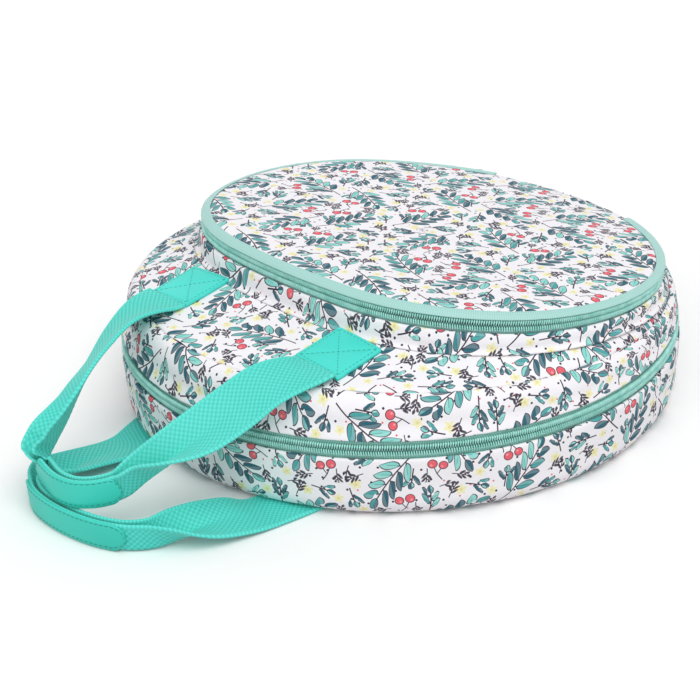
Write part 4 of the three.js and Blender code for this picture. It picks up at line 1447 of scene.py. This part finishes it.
def lidLiningOutline(place):
    top = -bag["cloth"] - bag["seam"]
    edge = tape["face"] - tape["thickness"] - 2.6
    t, sag = bag["lining"], hingeSag(place)
    section = [(edge, top, share) for share in (innermost, 0.66, 0.33)]
    rounded = [(edge - 0.3, top), (edge, top - 0.3), (edge, top - t + 0.3), (edge - 0.3, top - t)]
    section += [(s, z, 0) for s, z in rounded]
    section += [(edge, top - t, share) for share in (0.04, *innerShares, innermost)]
    points = []
    for s, z, share in section:
        p = at(place, s, z, share, pocket["lidMiddle"])
        p.z += lidTop(p.y) - sag * (1 - share) ** 3
        if share > 0.02 and z < top - 0.5:
            p.z += 0.35 * ripple(p.x, p.y, 5, 24) * smooth(0.02, 0.2, share)
        points.append(p)
    return points


def pocketLiningOutline(place):
    raised, t = bag["seam"] + 0.1, bag["lining"]

    def level(s, share):
        return floorInPocket(at(place, s, 0, share, pocket["lidMiddle"]).y) + raised

    low = level(insideFace, 0)
    top = max(-sliderReach, low + t + 0.4)
    section = [(insideFace, level(insideFace, share), share) for share in (innermost, 0.6, 0.3)]
    section += [(insideFace, low, 0), (insideFace, lerp(low, top, 0.5), 0), (insideFace - 0.1, top, 0)]
    back = insideFace - t
    section += [(back + 0.1, top, 0), (back, lerp(low + t, top, 0.5), 0), (back, level(back, 0) + t, 0)]
    section += [(back, level(back, share) + t, share) for share in (*innerShares, innermost)]
    points = []
    for k, (s, z, share) in enumerate(section):
        p = at(place, s, z, share, pocket["lidMiddle"])
        if k > 8:
            p.z += 0.5 * (1 + ripple(p.x, p.y, 7, 25)) * smooth(0, 0.15, share)
        points.append(p)
    return points


loft(
    "pocketWall", ringStations(rim, pocket["steps"]), pocketWallOutline, cotton, "front_shell",
    "pocket_gusset", (120, 620), toPart=fromPocket,
)
for name, outlineOf, look, body, node, offset, turn in (
    ("lidTop", lidOutline, cotton, "pocket_lid", "pocket_lid_panel", (330, 790), -0.55),
    ("lidInside", lidLiningOutline, lining, "pocket_lid", "pocket_lid_lining", (0, 0), 0),
    ("pocketInside", pocketLiningOutline, lining, "front_shell", "pocket_lining", (0, 0), 0),
):
    places = ringStations(rim, pocket["faceSteps"])
    loft(name, places, outlineOf, look, body, node, offset, turn, toPart=fromPocket)
print("pocket made")


# Cloth hinges, sewn over the ends of each zip


hinge = {"face": 0.5, "corner": 0.3, "steps": 90, "fade": 3.5}


def hingeOutline(place, low, high, lean):
    s0, s1, corner = hinge["face"], hinge["face"] + tape["thickness"], hinge["corner"]
    wave = 0.15 * waver(place["along"] / 6, low, 3)
    section = [(s0, low + corner), (s0 + corner, low), (s1 - 0.2, low), (s1, low + corner)]
    section += between((s1, low + corner), (s1, high - corner), 12)
    section += [(s1, high - corner), (s1 - 0.2, high), (s0 + corner, high), (s0, high - corner)]
    section += between((s0, high - corner), (s0, low + corner), 12)
    return [at(place, s + wave - lean * smooth(high - 2, high, z), z) for s, z in section]


def makeHinge(name, radius, half, low, high, lean, node, toPart, offset):
    over = half + 2 * bag["zipEndGap"]
    turns = [lerp(-over, over, i / hinge["steps"]) for i in range(hinge["steps"] + 1)]
    places = [
        {"x": 0, "y": 0, "r": radius, "a": hingeSide + turn, "along": turn * radius, "fromHinge": 0}
        for turn in turns
    ]
    piece = loft(
        name, places, lambda place: hingeOutline(place, low, high, lean), cotton, None, node, offset,
        ring=False, toPart=toPart,
    )
    middle = toPart(Vector((0, radius, (low + high) / 2)))
    away = toPart(Vector((0, radius, (low + high) / 2 + hinge["fade"]))) - middle
    (middle - away) * mm
    (middle + away) * mm
    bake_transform(piece)


makeHinge(
    "mainHinge", bag["radius"], bag["hingeHalf"], base - 11, base + 9, 0,
    "main_hinge_panel", same, (60, 900),
)
makeHinge(
    "pocketHinge", pocket["radius"], pocket["hingeHalf"], -6, 1.9, 0.9,
    "pocket_hinge_panel", fromPocket, (260, 980),
)
print("hinges made")


# Handles: the woven band, the leather grip and its stitches


def bandOutline(row, weave):
    half, t = band["width"] / 2, band["thickness"] / 2
    pitch = band["bumpPitch"]
    points, heights = [], []
    selvedge = 0.5 + 0.5 * math.sin(fullTurn * row["along"] / 2.1)

    def put(w, n, face):
        raised = 0.5 + 0.5 * math.cos(math.pi * row["along"] / pitch) * math.cos(math.pi * w / pitch)
        edge = smooth(half - 2.2, half - 1.4, abs(w))
        height = lerp(raised, 0.35 + 0.65 * selvedge, edge)
        n += face * band["bump"] * (height - 0.5) + face * 0.1 * edge
        w += math.copysign(0.22 * (selvedge - 0.5), w) * smooth(half - 0.8, half, abs(w))
        points.append(bandPoint(row, w, n))
        heights.append(min(height, 1))

    columns, flat = band["columns"], half - 0.6
    for side in (1, -1):  # the underside with the right edge, then the top with the left edge
        for k in range(columns + 1):
            put(lerp(-side * flat, side * flat, k / columns), -side * t, -side)
        for w, n in ((half - 0.2, -t * 0.6), (half, 0), (half - 0.2, t * 0.6)):
            put(side * w, side * n, 0)
    weave.append(heights)
    return points


def makeBand(name, rows, body, node):
    # weave holds each point's height, which the webbing's colour turns into painted light and shade
    weave = []
    outlines = [bandOutline(row, weave) for row in rows]
    bm = sweep(outlines, ring=False, values=weave)
    finished(name, bm, webbing, body, [node])


makeBand("frontHandle", frontBand, "front_handle", "front_handle_webbing")
makeBand("backHandle", backBand, "back_handle", "back_handle_webbing")

grip = {
    "width": 16,
    "thickness": 1.25,
    "middle": band["width"] / 4 + 0.65,  # across the band's outer half
    "gap": 0.22,
    "from": 16,  # spans of half a route point, as in the solids
    "to": 26,
    "endRound": 8.5,
    "stitchInset": 1.5,
    "stitchPitch": 3.0,
    "stitch": (2.15, 0.5, 0.42),
}


def gripPoint(row, k, lift):  # k from the fold outwards, on the outside of the band's outer half
    return bandPoint(row, -k, -(band["thickness"] / 2 + lift))


def gripHalf(row, first, last):
    left = min(row["along"] - first, last - row["along"], grip["endRound"])
    return grip["width"] / 2 * math.sqrt(max(1 - (1 - left / grip["endRound"]) ** 2, 0))


def gripOutline(row, first, last):
    half, middle = max(gripHalf(row, first, last), 0.3), grip["middle"]
    low, high = grip["gap"], grip["gap"] + grip["thickness"]
    inset = 1 - grip["stitchInset"] / (grip["width"] / 2)
    seam = [inset - 0.05, inset, inset + 0.05]
    section = []
    for share in (-0.93, *[-s for s in reversed(seam)], -0.6, -0.3, 0, 0.3, 0.6, *seam, 0.93):
        pressed = 0.2 if abs(abs(share) - inset) < 0.001 else 0
        puffed = 0.12 * (1 - share * share)
        rounded = 0.12 if abs(share) > 0.9 else 0
        section.append((share, high - pressed + puffed - rounded))
    edge = [(0.985, high - 0.45), (1, lerp(low, high, 0.4)), (0.97, low)]
    section += edge + [(share, low) for share in (0.6, 0.2, -0.2, -0.6)]
    section += [(-share, lift) for share, lift in reversed(edge)]
    return [gripPoint(row, middle + half * share, lift) for share, lift in section]


# A row of stitches: a small rounded thread between points of a path, lying along it
def addStitches(bm, path, pitch, size, closed=False):
    lengths = cumulated([p for p, up in path], closed)
    count = max(int(lengths[-1] / pitch), 1)
    length, width, height = size
    k = 0
    for i in range(count):
        target = (i + 0.5) * lengths[-1] / count
        while lengths[k + 1] < target:
            k += 1
        share = (target - lengths[k]) / max(lengths[k + 1] - lengths[k], 1e-6)
        (p, up), (q, upNext) = path[k], path[(k + 1) % len(path)]
        ahead = (q - p).normalized()
        out = (up + (upNext - up) * share).normalized()
        side = out.cross(ahead).normalized()
        out = ahead.cross(side)
        turn = Matrix((ahead, side, out)).transposed()
        made = bmesh.ops.create_uvsphere(bm, u_segments=6, v_segments=5, radius=0.5)["verts"]
        bmesh.ops.rotate(bm, verts=made, matrix=Matrix.Rotation(math.pi / 2, 3, "Y"))
        bmesh.ops.scale(bm, verts=made, vec=(length, width, height))
        for v in made:
            v.co = p.lerp(q, share) + turn @ v.co


def makeGrip(name, rows, points, body, node):
    spans = 2 * (points - 1)
    inside = [row for row in rows if grip["from"] / spans <= row["t"] <= grip["to"] / spans]
    first, last = inside[0]["along"] - 0.2, inside[-1]["along"] + 0.2
    loft(name, inside, lambda row: gripOutline(row, first, last), gripLeather, body, node, ring=False)
    path = []
    for side, run in ((1, inside), (-1, inside[::-1])):
        for row in run:
            k = gripHalf(row, first, last) - grip["stitchInset"]
            if k > 0.3:
                across = grip["middle"] + side * k
                p = gripPoint(row, across, grip["gap"] + grip["thickness"])
                path.append((p, p - gripPoint(row, across, 0)))
    stitches = bmesh.new()
    addStitches(stitches, path, grip["stitchPitch"], grip["stitch"], closed=True)
    finished(name + "Stitches", stitches, darkThread, body, recalc=False)


makeGrip("frontGrip", frontBand, len(frontRoute), "front_handle", "front_handle_grip")
makeGrip("backGrip", backBand, len(backRoute), "back_handle", "back_handle_grip")
print("handles made")


# Handle patches: leather squares, sewn round the edge and across in an X


def patchGroove(x, y):
    edge = patch["size"] / 2 - max(abs(x), abs(y))
    lines = [abs(edge - patch["stitchInset"])]
    if edge > patch["stitchInset"]:
        lines += [abs(x - y) / math.sqrt(2), abs(x + y) / math.sqrt(2)]
    near = min(lines)
    puff = 0.22 * smooth(0, 5, near) * smooth(0, 3, edge)
    return puff - 0.3 * math.exp(-((near / 0.55) ** 2)) - 0.25 * smooth(1.2, 0, edge)


def atCorner(v):
    x, y = abs(v.co.x), abs(v.co.y)
    return abs(x - patch["size"] / 2) < 0.01 and abs(x - y) < 0.01


def makePatch(name, middle, topAt, underAt, facing, body, node):
    def shown(x, y, lift=0):  # the face that shows, above the bag or under it
        level = (topAt if facing > 0 else underAt)(x + middle[0], y + middle[1])
        return level + facing * (patchGroove(x, y) + lift)

    half = patch["size"] / 2
    bm = bmesh.new()
    bmesh.ops.create_grid(bm, x_segments=patch["cells"], y_segments=patch["cells"], size=half)
    pulled = bmesh.ops.extrude_face_region(bm, geom=bm.faces[:])
    lower = [v for v in pulled["geom"] if isinstance(v, bmesh.types.BMVert)]
    bmesh.ops.translate(bm, verts=lower, vec=(0, 0, -1))
    bmesh.ops.recalc_face_normals(bm, faces=bm.faces)
    upright = [e for e in bm.edges if abs(e.verts[0].co.z - e.verts[1].co.z) > 0.5]
    bevelled(bm, [e for e in upright if all(atCorner(v) for v in e.verts)], patch["corner"], 3)
    for v in bm.verts:
        x, y, z = v.co
        hidden = (underAt if facing > 0 else topAt)(x + middle[0], y + middle[1])
        v.co = (x + middle[0], y + middle[1], shown(x, y) if (z > -0.5) == (facing > 0) else hidden)
    layFlat(bm)
    finished(name, bm, patchLeather, body, [node])
    inset = half - patch["stitchInset"]
    square = [(-inset, -inset), (inset, -inset), (inset, inset), (-inset, inset)]
    runs = [*zip(square, square[1:] + square[:1]), (square[0], square[2]), (square[1], square[3])]
    stitches, cuts = bmesh.new(), 32
    for start, end in runs:
        path = []
        for k in range(cuts + 1):
            x, y = lerp(start[0], end[0], k / cuts), lerp(start[1], end[1], k / cuts)
            spot = Vector((x + middle[0], y + middle[1], shown(x, y, 0.06)))
            path.append((spot, Vector((0, 0, facing))))
        addStitches(stitches, path, patch["stitchPitch"], patch["stitch"])
    finished(name + "Stitches", stitches, darkThread, body, recalc=False)


def overFace(lift):
    return lambda x, y: faceHeight(x, y) + lift


patchRise = patch["lift"] + patch["thickness"] - 0.3
for side, word in ((-1, "Left"), (1, "Right")):
    middle = (side * band["spacing"] / 2, patchLine)
    node = "patch_" + word.lower()
    makePatch(
        "frontPatch" + word, middle, overFace(patchRise), overFace(0.1), 1, "front_shell", "front_" + node,
    )
    makePatch(
        "backPatch" + word, middle, lambda x, y: 2.1, lambda x, y: 0.55, -1, "back_shell", "back_" + node,
    )
print("patches made")


# Sliders, in their own frame: u runs along the zip, v is out from the bag and w is up

slider = {
    "length": 9,
    "width": 9,
    "plate": 1.3,
    "inner": 1.3,
    "innerWidth": 5.6,
    "face": 0.15,
    "innerFace": -4.1,
    "arch": (3.8, 3.7, 1.8, 1.0),  # half its length, its rise, width and thickness
    "pull": (22, 6.4, 1.2),
    "pullHole": (0.8, 5.4, 3.4),  # from, to and width
    "pullHead": -1,  # how far the pull goes past the arch's middle
    "pullLift": 1.4,
    "sharpAngle": 1.2,
}


def sharp(edge):
    return len(edge.link_faces) == 2 and edge.calc_face_angle(0) > slider["sharpAngle"]


def drawnOut(value, power):  # a sine or cosine, drawn out towards the corner of a square
    return math.copysign(abs(value) ** power, value)


def addBlock(bm, low, high, bevel, taper=1.0):
    made = bmesh.ops.create_cube(bm, size=1)["verts"]
    size = [b - a for a, b in zip(low, high)]
    bmesh.ops.scale(bm, verts=made, vec=size)
    for v in made:
        if v.co.x > 0:
            v.co.z *= taper
    bmesh.ops.translate(bm, verts=made, vec=[(a + b) / 2 for a, b in zip(low, high)])
    edges = list({e for v in made for e in v.link_edges})
    upright = [e for e in edges if abs(e.verts[0].co.y - e.verts[1].co.y) > 0.5 * size[1]]
    done = bevelled(bm, upright, min(size[0], size[2]) * 0.28, 4)
    faces = {f for v in made if v.is_valid for f in v.link_faces} | set(done["faces"])
    rims = {e for f in faces for e in f.edges if abs(e.verts[0].co.y - e.verts[1].co.y) < 0.01}
    bevelled(bm, [e for e in rims if sharp(e)], bevel, 2)


def sliderMesh():
    bm = bmesh.new()
    half, face, innerFace = slider["length"] / 2, slider["face"], slider["innerFace"]
    wide, innerWide = slider["width"] / 2, slider["innerWidth"] / 2
    addBlock(bm, (-half, face, -wide), (half, face + slider["plate"], wide), 0.32, 0.72)
    addBlock(bm, (-half, innerFace - slider["inner"], -innerWide), (half, innerFace, innerWide), 0.3, 0.8)
    addBlock(bm, (-2, innerFace - 0.2, -0.25), (2, face + 0.2, 0.25), 0.05)
    return bm


def archMesh():
    half, rise, width, thick = slider["arch"]
    sunk, power, steps, sides = 0.15, 0.6, 24, 12
    foot = slider["face"] + slider["plate"] - sunk
    rings = []
    for i in range(steps + 1):
        c, s = polar(1, math.pi * i / steps)
        u, v = drawnOut(c, power) * (half - thick / 2), (rise + sunk - thick / 2) * s**power
        middle, out = Vector((u, foot + v, 0)), Vector((c, s, 0)).normalized()
        ring = []
        for k in range(sides):
            x, y = polar(1, fullTurn * k / sides)
            ring.append(middle + Vector((0, 0, width / 2 * x)) + out * (thick / 2 * y))
        rings.append(ring)
    return sweep(rings, ring=False)


def pullMesh():
    length, width, thick = slider["pull"]
    holeFrom, holeTo, holeWidth = slider["pullHole"]
    under = slider["face"] + slider["plate"] + slider["pullLift"] - thick / 2
    bm = bmesh.new()
    outer, hole = [bmesh.ops.create_circle(bm, segments=40, radius=1)["verts"] for k in range(2)]
    for verts, low, high, wide, power in (
        (outer, slider["pullHead"], length, width, 0.55), (hole, holeFrom, holeTo, holeWidth, 0.5),
    ):
        for v in verts:
            a = math.atan2(v.co.y, v.co.x)
            u = lerp(low, high, 0.5 + 0.5 * drawnOut(math.cos(a), power))
            taper = lerp(0.72, 1, smooth(0, length, u)) if verts is outer else 1
            v.co = (u, under, drawnOut(math.sin(a), 0.5) * wide / 2 * taper)
    bmesh.ops.bridge_loops(bm, edges=bm.edges[:])
    pulled = bmesh.ops.extrude_face_region(bm, geom=bm.faces[:])
    lifted = [v for v in pulled["geom"] if isinstance(v, bmesh.types.BMVert)]
    bmesh.ops.translate(bm, verts=lifted, vec=(0, thick, 0))
    bmesh.ops.recalc_face_normals(bm, faces=bm.faces)
    bevelled(bm, [e for e in bm.edges if sharp(e)], 0.28, 3)
    return bm


def makeSlider(name, radius, height, degrees, direction, node, toPart):
    a = hingeSide + math.radians(degrees)
    out = Vector((*polar(1, a), 0))
    ahead = Vector((-math.sin(a), math.cos(a), 0)) * direction
    seat = out * radius + Vector((0, 0, height))

    def place(bm):
        for v in bm.verts:
            v.co = toPart(seat + ahead * v.co.x + out * v.co.y + Vector((0, 0, direction * v.co.z)))
        return bm

    case = place(sliderMesh())
    finished(name + "SliderArch", place(archMesh()), metal, name + "_slider")
    finished(name + "Slider", case, metal, name + "_slider", [node + "_slider"])
    finished(name + "SliderPull", place(pullMesh()), metal, name + "_pull", [node + "_pull"])


makeSlider("first", bag["radius"], base, 70, -1, "main_zip_first", same)
makeSlider("second", bag["radius"], base, 78, 1, "main_zip_second", same)
makeSlider("pocket", pocket["radius"], 0, 26, 1, "pocket_zip", fromPocket)
print("sliders made")


# Studio: a pale floor, soft lamps, and a surround that the camera, gloss and glass see as white

studio = {"world": 0.62, "floorSize": 6000}
lamps = (
    ("keyLamp", (-0.5, 0.1, -1.0), 1.1, math.radians(40)),
    ("fillLamp", (-0.6, 0.9, -0.9), 0.5, math.radians(60)),
)


def seenRay(tree):  # 1 for the camera's rays, and for those that gloss and glass send on
    path = tree.nodes.new("ShaderNodeLightPath")
    seen = Wire(tree, path.outputs["Is Camera Ray"])
    for label in ("Is Glossy Ray", "Is Transmission Ray"):
        seen = seen.math("MAXIMUM", Wire(tree, path.outputs[label]))
    return seen


def makeStudio():
    scene = bpy.context.scene
    scene.view_settings.view_transform = "Standard"
    world = bpy.data.worlds.new("studio")
    world.use_nodes = True
    scene.world = world
    tree = world.node_tree
    plain = tree.nodes["Background"]
    white = tree.nodes.new("ShaderNodeBackground")
    for light, strength in ((plain, studio["world"]), (white, 1.0)):
        light.inputs["Color"].default_value = (1, 1, 1, 1)
        light.inputs["Strength"].default_value = strength
    both = tree.nodes.new("ShaderNodeMixShader")
    plug(tree, both.inputs[0], seenRay(tree))
    tree.links.new(plain.outputs[0], both.inputs[1])
    tree.links.new(white.outputs[0], both.inputs[2])
    tree.links.new(both.outputs[0], tree.nodes["World Output"].inputs["Surface"])

    material, tree, shader = newMaterial("studioFloor", 1.0, [("Specular IOR Level", 0.0)])
    painted(tree, shader, mixed(tree, seenRay(tree), linear("#DDDDDD"), linear("#FFFFFF")))
    bm = bmesh.new()
    bmesh.ops.create_grid(bm, x_segments=1, y_segments=1, size=studio["floorSize"])
    layFlat(bm)
    finished("studioFloor", bm, (material, None), None, recalc=False)

    for name, direction, strength, angle in lamps:
        data = bpy.data.lights.new(name, "SUN")
        data.energy, data.angle = strength, angle
        lamp = bpy.data.objects.new(name, data)
        lamp.rotation_euler = Vector(direction).to_track_quat("-Z", "Y").to_euler()
        scene.collection.objects.link(lamp)


makeStudio()
print("studio set")
